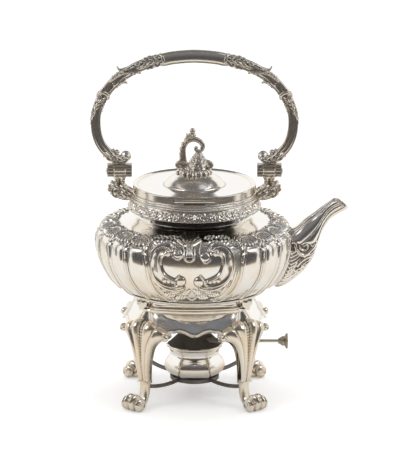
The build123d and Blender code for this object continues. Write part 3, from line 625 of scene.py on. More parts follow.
# Each leaf is (root, tip, half width), in x and in height as seen from the front
GROUND_LEAVES = (
    ((17, 151), (28, 150.5), 3.4), ((13, 156), (25, 155.5), 3.2), ((29, 152), (40, 149.5), 3.4),
    ((26, 157), (37, 154.5), 3.0), ((40, 152), (46, 145), 3.2), ((45, 143), (47.5, 133), 2.6))
LOW_LEAVES = (
    ((2, 104), (11, 101), 2.8), ((12, 104), (22, 102.5), 2.8), ((23, 105.5), (31, 106.5), 2.6),
    ((32, 108.5), (38, 114.5), 2.6), ((5, 98.5), (16, 98), 2.6), ((17, 99.5), (27, 101.5), 2.4))
FRAME_HOLLOW = ((23.0, 142.4), (29.0, 142.2), (33.2, 138.8), (34.8, 132.8), (34.6, 126.4), (32.0, 119.8),
                (27.2, 115.2), (21.0, 112.4), (15.5, 111.4))
FRAME_RIM = ((21.6, 149.6), (31.0, 147.8), (37.6, 143.6), (40.8, 137.0), (41.3, 128.6), (39.0, 120.0),
             (34.0, 113.0), (26.6, 107.8), (17.0, 105.4), (8.5, 107.2))
PALMETTE_FOOT = (-2.4, 146.5)
PALMETTE_TIPS = ((-12.6, 153.6), (-9.6, 158.0), (-4.8, 160.6), (0.6, 160.4), (5.0, 157.6), (7.6, 153.4))
PALMETTE_CUP = [(-7.2, 144.0), (-7.4, 138.0), (-5.6, 134.2), (-2.2, 132.8), (1.2, 134.2), (3.0, 138.0),
                (2.8, 144.0)]


def from_panel(nominal):
    """The angle from the middle of the nearer panel, -90 to 90."""
    return (nominal + 90.0) % 180.0 - 90.0


def true_angle(nominal, share):
    """The panels narrow towards the foot, so the lobes beside them lean."""
    lean = 13.5 * np.clip(1.0 - share / 0.40, 0.0, 1.0) ** 2 - 2.0 * ramp(share, 0.45, 0.62)
    quarter = np.abs(from_panel(nominal))
    beyond = np.clip((90.0 - quarter) / (90.0 - PANEL), 0.0, 1.0) ** 1.6
    return nominal - np.sign(from_panel(nominal)) * lean * np.where(quarter < PANEL, quarter / PANEL, beyond)


def lobe_places(nominal):
    """Where an angle is across its lobe or panel, from -1 to 1, and whether it is in a panel."""
    quarter = from_panel(nominal)
    in_panel = np.abs(quarter) <= PANEL + TINY
    lobe = ((np.abs(quarter) - PANEL) / LOBE) % 1.0
    lobe = np.where(np.abs(quarter) >= PANEL + 4 * LOBE - TINY, 1.0, lobe)
    return np.where(in_panel, quarter / PANEL, 2.0 * lobe - 1.0), in_panel


def body_point(nominal, share, raised):
    """A point of the lobed body, raised square to its upright course. share runs up from the foot."""
    radius, height, along_r, along_z = sample(BODY_COURSE, share)
    across, in_panel = lobe_places(nominal)
    depth = LOBE_DEPTH * ramp(share, 0.0, 0.10) * (1.0 - ramp(share, 0.60, 0.76))
    swell = np.where(in_panel, 1.0 - across**2, half_round(0.94 * across))
    radius = radius - depth * (1.0 - swell) - np.where(in_panel, 1.3, 0.35)
    turn = np.radians(true_angle(nominal, share))
    return around(radius + raised * along_z, turn, height - raised * along_r)


def with_cords(height, edge, fade, cords, groove):
    """Adds an edge's cords, each (distance from it, half width, height), and a (distance, width) groove."""
    for place, half_width, raised in cords:
        height = np.maximum(height, half_round((edge - place) / half_width) * raised * fade)
    return height - 0.85 * bump(edge, *groove) * fade


def panel_work(nominal, share):
    """The chased cartouche of the front and back panels, drawn as it is seen from the front."""
    base = body_point(nominal, share, 0.0)
    work = Chasing(base[:, 0] + 2.6, SIGHT_UP * base[:, 2] - SIGHT_AWAY * np.abs(base[:, 1]))
    for sign in (-1, 1):
        for leaves, height, lobes, curl in ((GROUND_LEAVES, 1.7, 3, 0.5), (LOW_LEAVES, 1.5, 4, -0.5)):
            for (a, b), (c, d), wide in leaves:
                work.leaf((sign * a, b), (sign * c, d), wide, height, lobes, curl * sign)
        tail = [(2.0, 104.5), (6.0, 100.5), (4.0, 96.5), (0.0, 94.0)]
        work.ridge(mirrored(sign, tail), 1.3, 1.0, (1.0, 0.5))
        # the hollow frame between two raised rims
        work.channel(mirrored(sign, FRAME_HOLLOW), 4.3, 3.0, 1.4)
        work.ridge(mirrored(sign, FRAME_RIM), 2.1, 3.7, (0.6, 0.8))
        work.boss((sign * 23.6, 141.2), 3.3, 2.6, 0.35)
    # balls at the foot of the frame and the curls that lead to them
    for sign, (x, z) in ((-1, (-10.8, 113.2)), (1, (7.0, 112.6))):
        work.boss((x, z), 4.6, 3.3)
        curl = [(sign * 24.0, 109.0), (sign * 17.5, 108.4), (x + sign * 5.6, 109.4),
                (x + sign * 5.4, 113.6), (x + sign * 1.5, 118.2)]
        work.ridge(curl, 1.3, 2.0, (0.5, 0.8))
        for step in range(3):
            work.boss((x * 0.2 + sign * (16.5 + 4.0 * step), 113.0 + 0.5 * step), 2.2, 1.7)
    # palmette with its fluted stem, and the volutes beside it
    foot_x, foot_z = PALMETTE_FOOT
    for x, z in PALMETTE_TIPS:
        middle = ((x + foot_x) * 0.62, foot_z + (z - foot_z) * 0.55)
        work.ridge([PALMETTE_FOOT, middle, (x, z)], 2.3, 2.1, (0.5, 1.0))
    for offset in (-2.5, 0.0, 2.5):
        flute = [(offset * spread - 2.2, z) for spread, z in ((0.9, 149.0), (0.8, 143.0), (1.05, 137.0))]
        work.ridge(flute, 1.25, 2.3)
    work.ridge(PALMETTE_CUP, 1.7, 2.7, (0.7, 0.7))
    for sign, (x, z), top in ((-1, (-13.6, 140.8), (-11.5, 151.0)), (1, (13.2, 137.4), (9.0, 150.5))):
        work.boss((x, z), 4.9, 3.4, 0.25)
        work.ridge([top, (x - sign * 4.8, 148.5), (x - sign * 5.9, 143.0), (x - sign * 4.6, 137.8),
                    (x, z - 5.8), (x + sign * 5.0, z - 3.0)], 1.3, 2.5, (0.5, 0.8))
        branch = [(sign * 23.0, 149.6), (sign * 18.5, 148.6), (x + sign * 3.6, z + 6.2)]
        work.ridge(branch, 1.8, 2.0, (0.4, 1.0))
        work.leaf((sign * 18.8, 147.0), (sign * 19.6, 138.5), 2.8, 1.6, 2)
    # double ribs that bound the panel
    edge = (1.0 - np.abs(lobe_places(nominal)[0])) * 46.0
    fade = ramp(share, 0.0, 0.05) * (1.0 - ramp(share, 0.58, 0.68))
    return with_cords(work.height, edge, fade, ((3.6, 1.1, 1.1), (0.9, 0.95, 1.7)), (2.2, 0.5))


def lobe_work(nominal, share):
    """The lobes: double cords in each crease, and an arched hood with petals under and leaves beside it."""
    across, half = lobe_places(nominal)[0], 12.0
    work = Chasing(across * half, share * BODY_LENGTH - SHOULDER)
    for step in range(-2, 3):
        u = 3.7 * step
        work.ridge([(0.66 * u, 21.5), (0.85 * u, 16.5), (u, 9.5 + 0.5 * step**2)], 2.1, 2.0, (0.5, 1.0))
    for sign in (-1, 1):
        work.leaf((sign * 12.0, 25.5), (sign * 12.0, -7.0), 5.2, 2.6, 6)
        work.leaf((sign * 10.5, 22.5), (sign * 3.0, 28.5), 3.2, 1.4, 3, curl=0.5 * sign)
    hood = [(11.8, 6.0), (11.2, 13.5), (8.4, 20.0)]
    work.ridge(mirrored(-1, hood) + [(0.0, 23.6)] + hood[::-1], 2.3, 2.7, (0.5, 0.5))
    edge = (1.0 - np.abs(across)) * half
    fade = ramp(share, 0.0, 0.05) * (1.0 - ramp(share, 0.70, 0.80))
    return with_cords(work.height, edge, fade, ((0.85, 0.9, 2.2), (2.9, 0.8, 0.6)), (1.95, 0.45))


def body_part(name, start, end, columns, rows, work):
    """One part of the body's sheet, between two nominal angles. Its side edges turn inwards, so that no gap
    shows where it meets the next part."""
    def place(s, t):
        at_edge = (s < TINY) | (s > 1 - TINY)
        nominal = start + (end - start) * np.clip((s * columns - 1.0) / (columns - 2.0), 0.0, 1.0)
        return body_point(nominal, t, np.where(at_edge, EDGE_TURNED_IN, work(nominal, t)))

    Piece().grid(columns, rows, place).finish(name, "kettle", "body", ["kettle_body", "kettle_shoulder"])


class KETTLE_OT_body(bpy.types.Operator):
    """Make the lobed body with its chased panels and shoulder"""
    bl_idname = "kettle.body"
    bl_label = "Lobed body"
    bl_options = {"REGISTER", "UNDO"}

    def execute(self, context):
        body_part("kettle_front_panel", -PANEL, PANEL, 240, 200, panel_work)
        body_part("kettle_back_panel", 180 - PANEL, 180 + PANEL, 200, 170, panel_work)
        body_part("kettle_lobes_right", PANEL, 180 - PANEL, 320, 150, lobe_work)
        body_part("kettle_lobes_left", 180 + PANEL, 360 - PANEL, 320, 150, lobe_work)
        return {"FINISHED"}


# Mouth: neck, chased border, reeded rim, beaded foot ring. Profiles are (radius, height)

BORDER_LINE = [(57.5, 194.6), (62.0, 194.3), (65.8, 194.1), (66.6, 195.4), (65.6, 197.6), (64.2, 200.0),
               (63.0, 202.6), (62.2, 205.0)]
BORDER_LIP = 9.2
NECK_OUTER = [(59.4, 184.6), (57.0, 185.2), (55.8, 186.2), (55.4, 187.6), (55.3, 190.0), (55.3, 192.4),
              (56.2, 193.2), (60.0, 193.3), (65.0, 193.7), (65.4, 194.2), (58.5, 195.0), (58.5, 205.0)]
NECK_INNER = [(57.0, 205.0), (56.0, 195.0), (53.6, 192.0), (53.2, 189.0), (55.5, 185.0), (59.4, 184.6)]
RIM_LINE = [(57.0, 205.0), (63.6, 205.0), (64.2, 205.5), (64.5, 206.2), (64.2, 206.9), (63.5, 207.2),
            (63.2, 207.5), (63.5, 208.0), (63.3, 208.6), (62.6, 208.9), (62.3, 209.3), (62.5, 209.9),
            (62.4, 210.6), (61.8, 211.0), (57.0, 211.0), (57.0, 205.0)]
FOOT_RING_LINE = [(62.0, 111.0), (70.5, 111.0), (72.4, 111.3), (73.2, 112.3), (73.2, 113.4), (72.2, 114.4),
                  (72.6, 115.2), (62.0, 115.2), (62.0, 111.0)]


def border_ring(motifs):
    line, length = even_path(BORDER_LINE, 200)

    def place(s, t):
        turn, motif = s * TURN, TURN / motifs
        work = Chasing(((turn + motif / 2) % motif - motif / 2) * 65.0, t * length - BORDER_LIP)
        for sign in (-1, 1):
            work.scroll((sign * 4.6, 5.2), 3.0, sign * 1.2, 100.0 - sign * 60, 1.0, 1.0)
            work.ridge([(sign * 10.3, 3.6), (sign * 7.6, 6.6), (sign * 4.4, 8.4)], 0.9, 0.9, (0.5, 1.0))
            work.leaf((sign * 9.8, 1.4), (sign * 6.0, 3.2), 1.5, 0.8, 2)
            work.leaf((sign * 10.2, 9.0), (sign * 10.2, 5.6), 1.4, 0.7, 2)
            work.leaf((sign * 1.8, 2.0), (sign * 4.6, 1.6), 1.2, 0.7, 2)
        work.leaf((0.0, 1.6), (0.0, 8.6), 1.9, 1.1, 3)
        for step in range(10):
            work.boss((-9.2 + 2.04 * step, 0.0), 1.0, 0.8)
        radius, height = sample(line, t)
        return around(radius + work.height * ramp(t, 0.30, 0.40) - 0.5, turn, height)

    return Piece().grid(1000, 30, place)


def beaded_ring(beads):
    def place(s, t):
        radius, height = sample(FOOT_RING_LINE, t)
        bead = np.abs(np.cos(beads / 2 * s * TURN)) ** 0.6
        return around(radius + 0.45 * (bead - 1.0) * bump(t, 0.44, 0.1), s * TURN, height)

    return Piece().grid(720, 40, place)


class KETTLE_OT_mouth(bpy.types.Operator):
    """Make the neck, the chased border, the reeded rim, the foot ring and the lining"""
    bl_idname = "kettle.mouth"
    bl_label = "Mouth and base"
    bl_options = {"REGISTER", "UNDO"}

    def execute(self, context):
        look = context.scene.kettle_look
        neck = np.vstack([smooth_path(NECK_OUTER, 40), NECK_INNER])
        Piece().spun(neck).finish("kettle_neck", "kettle", "neck", ["neck_collar"], 40)
        border_ring(look.border_motifs).finish("mouth_border", "kettle", "body", ["neck_border"])
        Piece().spun(RIM_LINE, 160).finish("reeded_rim", "kettle", "plain", ["mouth_rim"], 60)
        beaded_ring(look.foot_beads).finish("foot_ring", "kettle", "plain", ["base_moulding"], 40)
        wall = [(radius - (3.4 if height > 150 else 5.4), height) for radius, height in BODY_LINE[1:9]]
        lining = [(0.0, 116.0), (58.0, 116.4), (66.0, 116.4), *wall, (90.0, 173.2), (80.0, 176.9),
                  (66.5, 179.8), (57.4, 183.0), (55.6, 185.4)]
        Piece().spun(smooth_path(lining, 80), 96).finish("kettle_lining", "kettle", "inner")
        return {"FINISHED"}


# Lid and finial

LID_BAND = [(60.3, 211.2), (61.1, 211.2), (61.6, 211.7), (61.6, 217.6), (61.3, 218.3), (60.5, 218.6)]
LID_TOP = [(60.0, 218.3), (56.0, 217.2), (50.0, 216.7), (42.0, 216.6), (35.0, 216.9), (31.2, 217.2)]
LID_DOME = [(30.6, 217.6), (30.0, 218.6), (28.6, 220.3), (25.4, 223.1), (20.0, 226.5), (12.0, 229.8),
            (6.0, 230.9), (0.0, 231.0)]
LID_UNDER = [(0.0, 229.6), (12.0, 228.2), (20.0, 225.0), (25.0, 221.6), (28.8, 217.8), (34.0, 215.8),
             (45.0, 215.3), (58.8, 216.8), (60.3, 216.0), (60.3, 211.2)]
HINGE_NOTCH = (-20.6, -70.0, 205.0), (20.6, -56.0, 216.9)

# The finial, seen from the front: its points are (x, z)
STEM = [(-10.3, 232.0), (-11.2, 238.0), (-11.6, 246.0), (-11.2, 253.5), (-8.6, 259.6), (-3.4, 263.2),
        (2.8, 262.7), (7.4, 259.0), (8.2, 254.7), (5.6, 251.4), (1.9, 251.6), (0.9, 254.2), (2.2, 255.4)]
STEM_LEAF = [(-13.4, 244.0), (-13.8, 251.0), (-11.6, 257.6), (-8.0, 262.6), (-5.2, 266.4)]
HOOK_X, HOOK_Z = 4.4, 251.8
HANGING_TIPS = ((-9.0, 6.5, 231.6), (-1.0, 11.5, 231.8), (8.0, 9.5, 232.6), (14.5, 2.5, 235.4))
HANGING_COURSE = ((0.16, 0.20, 0.26), (0.40, 0.48, 0.56), (0.80, 0.86, 0.86), (1.04, 1.06, 1.0))


def hang_leaf(body, x, y, foot):
    """A leaf that hangs from the hook and spreads to a tip at x, y over the dome."""
    reach, drop = x - HOOK_X, HOOK_Z - foot
    path = [(HOOK_X + 0.2, 0.10 * y, HOOK_Z)]
    path += [(HOOK_X + out * reach, aside * y, HOOK_Z - down * drop) for out, aside, down in HANGING_COURSE]

    def width(t):
        lobed = 1 + 0.40 * np.cos(4 * TURN * t + x)
        return 0.8 + 4.2 * np.sin(np.pi * np.clip(t, 0, 1) ** 1.5) ** 0.8 * lobed

    def veins(s, t):
        rib = 0.6 * (bump(s, 0.25, 0.04) + bump(s, 0.75, 0.04))
        return rib + 0.25 * np.cos(5 * TURN * t) * np.sin(TURN * s) ** 2

    body.sweep(path, width, lambda t: 0.6 + 1.6 * np.sin(np.pi * t), 24, 56, 1.0, veins,
               side=unit(np.cross((reach, y, 0.1), Z)))


def make_finial():
    body = Piece()
    body.sweep(STEM, lambda t: 3.6 - 1.5 * t,
               lambda t: 4.3 - 1.6 * ramp(t, 0.0, 0.45) - 1.1 * ramp(t, 0.7, 1.0), 24, 110, 0.85,
               lambda s, t: -0.5 * sum(bump(s, edge, 0.05) for edge in (0.5, 0.0, 1.0)) * (1 - t))
    body.ball((1.9, 0, 254.4), (1.9, 2.2, 1.9))
    body.ball((-1.9, 0, 271.9), (3.1, 3.1, 3.1), 24, 16)
    for turn in range(5):
        a = TURN * turn / 5 + 0.3
        body.ball((-2.6 + 2.6 * math.cos(a), 2.2 * math.sin(a), 267.2), (2.0, 1.8, 2.2))
    body.ball((-3.2, 0, 265.4), (3.4, 3.0, 2.6))
    body.sweep(STEM_LEAF, lambda t: 2.8 + 0.5 * np.cos(5 * TURN * t),
               lambda t: 1.0 + 1.6 * t + 0.6 * np.cos(5 * TURN * t), 18, 70)
    for side in (-1, 1):
        crest = [(-9.0, side * 1.5, 260.0), (-7.8, side * 2.8, 264.2), (-7.2, side * 3.0, 267.4),
                 (-8.2, side * 3.0, 269.0)]
        body.sweep(crest, 1.6, lambda t: 1.7 * arch(t, 0.15, 0.8), 12, 24)
    for side in (-1, 1):
        for x, y, foot in HANGING_TIPS:
            hang_leaf(body, x, side * y, foot)
    hang_leaf(body, -4.5, 0.0, 240.0)
    for sign, x, z in ((-1, -15.0, 236.8), (1, 14.8, 236.6)):
        turns = spiral((x, z), 3.7, -sign * 1.3, 90.0, 0.25, 40)
        body.sweep([(sign * 12.0, 241.0), *turns[::4]], lambda t: 3.4 - 0.8 * t,
                   lambda t: 1.7 - 0.5 * t, 12, 60)
        body.ball((x, 0, z), (1.6, 3.6, 1.6))
        body.sweep(mirrored(sign, [(4.0, 235.0), (8.5, 239.0), (12.5, 240.6)]), 3.8, 2.0, 12, 20)
    body.spun([(0.0, 229.0), (9.0, 229.6), (12.0, 232.0), (10.0, 234.6), (5.0, 238.0), (0.0, 241.0)], 48)
    body.finish("scroll_finial", "lid", "cast", ["finial"])


def make_fringe(petals):
    """The petalled collar under the finial, with petals of uneven length."""
    fringe = Piece()
    fringe.spun([(0.0, 228.6), (13.6, 228.4), (14.8, 229.4), (13.6, 232.0), (9.0, 233.6), (0.0, 233.8)], 64)
    for step in range(petals):
        outwards = np.array([math.sin(TURN * step / petals), -math.cos(TURN * step / petals), 0.0])
        short = 1.3 * (step % 2) + 0.5 * (step % 3)
        course = ((10.0, 233.0), (13.8 - 0.6 * short, 232.6), (16.6 - short, 230.2),
                  (17.6 - 1.4 * short, 227.2 + 0.8 * short))
        fringe.sweep([outwards * reach + (0, 0, z) for reach, z in course],
                     lambda t: 2.7 * arch(t, 0.1, 0.76, 0.7), lambda t: 1.8 * arch(t, 0.1, 0.78, 0.6), 14, 18,
                     side=np.cross(Z, outwards))
    fringe.finish("petal_fringe", "lid", "cast", ["finial_collar"])


class KETTLE_OT_lid(bpy.types.Operator):
    """Make the lid with its dome, and the scroll finial"""
    bl_idname = "kettle.lid"
    bl_label = "Lid and finial"
    bl_options = {"REGISTER", "UNDO"}

    def execute(self, context):
        profile = np.vstack([LID_BAND, smooth_path(LID_TOP, 30), smooth_path(LID_DOME, 40), LID_UNDER])
        cover = Piece().spun(profile, 160).cut_notch(*HINGE_NOTCH)
        cover.finish("lid_plate", "lid", "plain", ["lid_cover"], 38)
        make_finial()
        make_fringe(context.scene.kettle_look.petals)
        return {"FINISHED"}


# Handle, on the side of the spout and mirrored for the other. Its points are (x, z)

ARM_LINE = [(29.5, 345.6), (46.0, 341.3), (60.0, 335.4), (73.0, 327.2), (84.0, 317.2), (92.4, 305.0),
            (97.2, 292.0), (98.3, 279.5), (96.9, 268.0), (92.8, 257.6), (86.4, 249.6), (79.6, 244.4),
            (73.4, 242.4), (68.6, 244.6), (68.0, 248.4)]
ARM_ROUND = 42.0
# Each leaf on the arm is (root, tip, half width, height, lobes, curl), along the arm and across it
ARM_LEAVES = (
    ((3.0, 3.0), (21.0, 6.4), 3.4, 1.8, 3, 0.4), ((3.0, -3.0), (21.0, -6.4), 3.4, 1.8, 3, -0.4),
    ((4.0, 0.0), (30.0, 0.0), 3.0, 1.9, 4, 0.0), ((38.0, 4.4), (56.0, 7.5), 2.8, 1.6, 3, 0.0),
    ((44.0, -4.4), (60.0, -8.4), 2.8, 1.6, 3, 0.0), ((75.0, -2.0), (98.0, 2.6), 3.4, 1.9, 4, 0.3),
    ((79.0, -6.5), (92.0, -7.6), 2.4, 1.4, 3, 0.0), ((90.0, 6.0), (106.0, 7.4), 2.4, 1.4, 3, 0.0),
    ((156, 5.0), (138, 7.6), 2.8, 1.6, 3, 0.0), ((158, -3.0), (142, -5.6), 2.8, 1.6, 3, 0.0),
    ((154, 1.0), (136, 1.0), 2.8, 1.6, 3, 0.0))
# Each ridge on the arm is (line, half width, height)
ARM_RIDGES = (
    ([(0, 7.6), (60, 7.4), (120, 7.4), (172, 6.4)], 2.0, 1.0),
    ([(0, -7.4), (60, -7.2), (120, -7.2), (172, -6.0)], 1.9, 1.0),
    ([(3.5, -9.5), (1.5, -4.0), (1.5, 4.0), (3.5, 9.5)], 1.9, 1.8),
    ([(75.0, -9.5), (71.5, -3.5), (72.5, 3.0), (77.0, 9.0)], 2.1, 2.0))
# Each cusp on the arm's outer edge is (line, size)
ARM_CUSPS = (
    ([(62, 336.2), (69.5, 334.6), (74.2, 334.4), (77.0, 338.0)], 2.9),
    ([(81.0, 319.6), (75.0, 321.2), (70.0, 322.2), (66.6, 320.8)], 3.5),
    ([(67.0, 329.8), (61.0, 331.2), (57.0, 332.0), (53.2, 330.8)], 3.3))
GRIP_LINE = [(-32.0, 344.6), (-20, 347.0), (0, 348.4), (20, 347.0), (32.0, 344.6)]
HINGE_X, HINGE_Z = 74.6, 230.5


def arm_work(u, v):
    """Leaves, scrolls and grooves on a handle arm: u runs down it, v from its inner to its outer edge."""
    work = Chasing(u, v)
    for line, width, height in ARM_RIDGES:
        work.ridge(line, width, height)
    for root, tip, width, height, lobes, curl in ARM_LEAVES:
        work.leaf(root, tip, width, height, lobes, curl)
    for centre, radius, turns, start, width, height in (
            ((27.0, 5.4), 3.2, 1.1, 180.0, 1.4, 1.7), ((34.0, -5.6), 3.2, -1.1, 180.0, 1.4, 1.7),
            ((79.5, 4.6), 3.4, 1.2, 200.0, 1.5, 1.8)):
        work.scroll(centre, radius, turns, start, width, height)
    work.ridge([(22, -8), (32, -3), (45, 2.5), (58, 5.5)], 1.7, 1.6, (0.4, 1.0))
    for offset in (-5.5, 0.0, 5.5):
        work.ridge([(157, offset), (175, offset * 0.9)], 2.2, 1.2)
    return work.height


def handle_arm(side):
    path, length = even_path(ARM_LINE, 400)

    def thick(t):
        u = t * length
        return (5.5 - 0.3 * ramp(u, 60, 100) - 0.7 * ramp(u, 140, 160) - 1.3 * ramp(u, 158, 175)
                + 0.5 * bump(u, 3, 5) + 0.5 * bump(u, 74, 6))

    def relief(s, t):
        u, folded = t * length, np.where(np.abs(s - 0.5) <= 0.25, s - 0.5, np.where(s > 0.75, 1.0 - s, -s))
        v = folded * ARM_ROUND
        return arm_work(u, v) - 0.9 - 0.8 * bump(v, 0.0, 3.2) * ramp(u, 45, 60) * (1 - ramp(u, 140, 160))

    def shell(t):
        return 5.4 * np.sin(np.pi * np.clip(t, 0.06, 0.94)) ** 0.35

    arm = Piece()
    arm.sweep(path[::8], lambda t: 5.2 - 0.8 * ramp(t, 0.8, 1.0), thick, 84, 300, 0.78, relief)
    # the ball that ends the volute, ribbed like a shell
    arm.sweep([(68.4, y, 246.2) for y in (-5.0, 0, 5.0)], shell, shell, 48, 30, 1.0,
              lambda s, t: 0.45 * np.cos(3.0 * TURN * t + 1.5 * TURN * s) - 0.4, side=X)
    arm.ball((77.2, 0, 250.4), (2.8, 3.6, 2.6))
    arm.ball((80.8, 0, 252.2), (1.8, 3.0, 1.8))
    for line, size in ARM_CUSPS:
        arm.sweep(line, lambda t: size * (1.2 - 0.6 * t), lambda t: size * (1.2 - 0.95 * t), 16, 24)
    return arm.moved(lambda points: points * (side, 1.0, 1.0))


def grip_relief(s, t):
    return -0.8 * (bump(s, 0.135, 0.016) + bump(s, 0.365, 0.016)) - 0.2 * np.cos(4 * TURN * s)


def knuckle(piece, x, start, end):
    """A hinge knuckle, slightly squared off and worn into long streaks."""
    line = [(x + place, HINGE_Z) for place in (start, (start + end) / 2, end)]
    piece.sweep(line, 5.3, 5.5, 72, 10, 0.72,
                lambda s, t: 0.22 * np.cos(9 * TURN * s) + 0.14 * np.cos(17 * TURN * s) - 0.2)


def hinge_plate(x):
    """The handle's half of a hinge: a plate with the two outer knuckles."""
    plate = Piece()
    plate.sweep([(x - 12.3, 237.5), (x, 237.5), (x + 12.3, 237.5)], 5.3, 0.9, 24, 12, 0.5)
    for start, end in ((-12.2, -6.15), (6.15, 12.2)):
        knuckle(plate, x, start, end)
        web = [(x + start, 235.0), (x + (start + end) / 2, 235.0), (x + end, 235.0)]
        plate.sweep(web, 4.4, 2.4, 20, 6, 0.5)
    return plate


def rim_lug(side):
    """The kettle's half of a hinge: a middle knuckle on a leafy neck, with an oval boss and a curl."""
    x = side * HINGE_X
    lug = Piece()
    knuckle(lug, x, -6.0, 6.0)
    lug.sweep([(x, 213.0), (x, 218.0), (x, 222.0), (x, 226.0)],
              lambda t: 6.0 - 1.6 * np.sin(np.pi * np.clip(t * 1.2 - 0.1, 0, 1)) + 0.8 * ramp(t, 0.8, 1.0),
              lambda t: 4.6 - 1.0 * np.sin(np.pi * t), 40, 30, 0.8,
              lambda s, t: 0.5 * np.cos(6 * TURN * s), side=X)
    lug.sweep(mirrored(side, [(61.5, 205.5), (68.0, 205.8), (76.0, 208.0), (83.5, 210.5)]),
              lambda t: 8.2 - 3.5 * t, lambda t: 3.6 + 1.6 * np.sin(np.pi * t), 32, 40, 0.9,
              lambda s, t: 0.4 * np.cos(6 * TURN * t) * np.cos(4 * TURN * s))
    lug.ball((side * 76.0, 0, 211.5), (8.2, 5.6, 5.8), 28, 20)
    lug.sweep(mirrored(side, [(74.0, 214.0), (69.5, 212.5), (65.5, 209.5), (62.5, 208.0)]),
              lambda t: 6.0 + 1.5 * t, 2.6, 28, 30, 0.9, lambda s, t: 0.4 * np.cos(5 * TURN * t))
    for y in (-1, 1):
        lug.ball((side * 78.4, y * 5.4, 210.6), (3.0, 1.9, 4.4), 24, 16)
        ring = [(side * (78.4 + 4.1 * math.cos(a)), y * 5.0, 210.6 + 5.5 * math.sin(a))
                for a in np.linspace(0, TURN, 25)]
        lug.sweep(ring, 1.2, 1.0, 10, 48, cap=False)
        lug.ball((side * 71.4, y * 4.6, 221.0), (2.2, 1.6, 2.6))
        lug.ball((side * 77.8, y * 4.6, 221.0), (2.2, 1.6, 2.6))
        for a, z, size in ((66.0, 211.5, 2.3), (70.5, 208.6, 2.3), (65.5, 206.2, 2.0), (71.0, 214.6, 2.4),
                           (80.0, 216.8, 2.0)):
            frond = [(side * (a + 3), y * 4.0, z + 1.8), (side * a, y * 6.4, z),
                     (side * (a - 3.0), y * 7.0, z - 2.4)]
            lug.sweep(frond, size, 1.6, 14, 16, side=Z)
    curl = spiral((side * 84.2, 212.4), 3.4, side * 1.2, 90.0 - side * 30, 0.25, 36)
    lug.sweep(curl, lambda t: 3.8 - t, lambda t: 1.6 - 0.4 * t, 12, 44)
    lug.ball((side * 84.2, 0, 212.4), (1.6, 3.2, 1.6))
    return lug


class KETTLE_OT_handle(bpy.types.Operator):
    """Make the bail handle: plain grip, leafy arms with volutes, hinge barrels and the lugs on the rim"""
    bl_idname = "kettle.handle"
    bl_label = "Bail handle"
    bl_options = {"REGISTER", "UNDO"}

    def execute(self, context):
        half_height = context.scene.kettle_look.grip_height / MM / 2
        grip = Piece().sweep(GRIP_LINE, 5.3, half_height, 64, 60, 0.94, grip_relief)
        grip.finish("bail_grip", "handle", "plain", ["handle_grip"])
        for side, name in ((-1, "left"), (1, "right")):
            handle_arm(side).finish("bail_arm_" + name, "handle", "cast", ["handle_arm_" + name])
            plate = hinge_plate(side * HINGE_X)
            plate.finish("bail_knuckle_" + name, "handle", "barrel", ["handle_plate_" + name])
            rim_lug(side).finish("rim_lug_" + name, "kettle", "cast", ["hinge_lug_" + name])
        return {"FINISHED"}


# Spout, as sections from its root to its mouth: upper x, z, lower x, z, and half the width

SPOUT_STATIONS = [
    (86.0, 168.0, 75.0, 110.5, 25.0), (98.5, 172.5, 90.0, 114.0, 21.0), (109.5, 181.2, 104.0, 123.5, 17.0),
    (118.0, 187.0, 115.0, 135.0, 13.5), (125.0, 192.5, 121.5, 149.0, 11.0), (131.0, 197.0, 127.5, 168.5, 9.0),
    (136.5, 200.5, 137.0, 183.0, 8.0), (141.5, 203.0, 153.5, 193.3, 8.6)]
SPOUT_FLUTES = ((-0.14, 0.14), (0.14, 0.40), (0.40, 0.62), (0.62, 0.82), (0.82, 1.18))
SPOUT_OUTSIDE = 0.72
# Each ridge on the spout is (line of x and z, half width, height): the stem, the leaf that rolls over
# where the tube starts and its curl, and the leaf below it
SPOUT_RIDGES = (
    ([(82.0, 111.5), (90.0, 115.6), (97.0, 120.6), (103.0, 125.6), (108.5, 130.4)], 2.3, 2.6),
    ([(84.0, 116.5), (90.5, 119.8), (97.0, 124.4), (102.5, 129.0)], 1.5, 1.9),
    ([(100.5, 160.0), (101.6, 155.2), (104.2, 150.6), (107.7, 147.9), (111.4, 148.4), (115.6, 151.4),
      (120.0, 155.6), (122.4, 160.0)], 2.3, 3.3),
    ([(104.6, 157.6), (106.6, 154.0), (110.4, 152.6), (113.4, 155.2), (112.0, 158.4),
      (109.2, 157.6)], 1.3, 2.7),
    ([(116.4, 158.8), (117.6, 156.4), (120.0, 159.0)], 1.2, 2.6),
    ([(103.0, 137.0), (106.0, 140.6), (110.0, 143.6), (114.4, 145.2), (118.6, 144.4)], 2.5, 3.2),
    ([(109.6, 146.2), (113.0, 147.6), (117.0, 148.8), (120.8, 151.6)], 1.7, 2.8),
    ([(106.0, 131.6), (108.0, 136.6), (111.6, 140.6), (114.6, 141.8)], 1.5, 2.9),
    ([(109.6, 132.0), (112.4, 137.2), (116.4, 140.4)], 1.5, 2.9),
    ([(100.4, 131.0), (104.4, 133.6), (108.0, 134.2), (111.6, 133.0)], 1.9, 2.7))


def flutes(place, spans):
    """Rounded flutes side by side, each over one span of place."""
    height = np.zeros_like(place)
    for start, end in spans:
        height = np.maximum(height, half_round((place - (start + end) / 2) / ((end - start) / 2)))
    return height


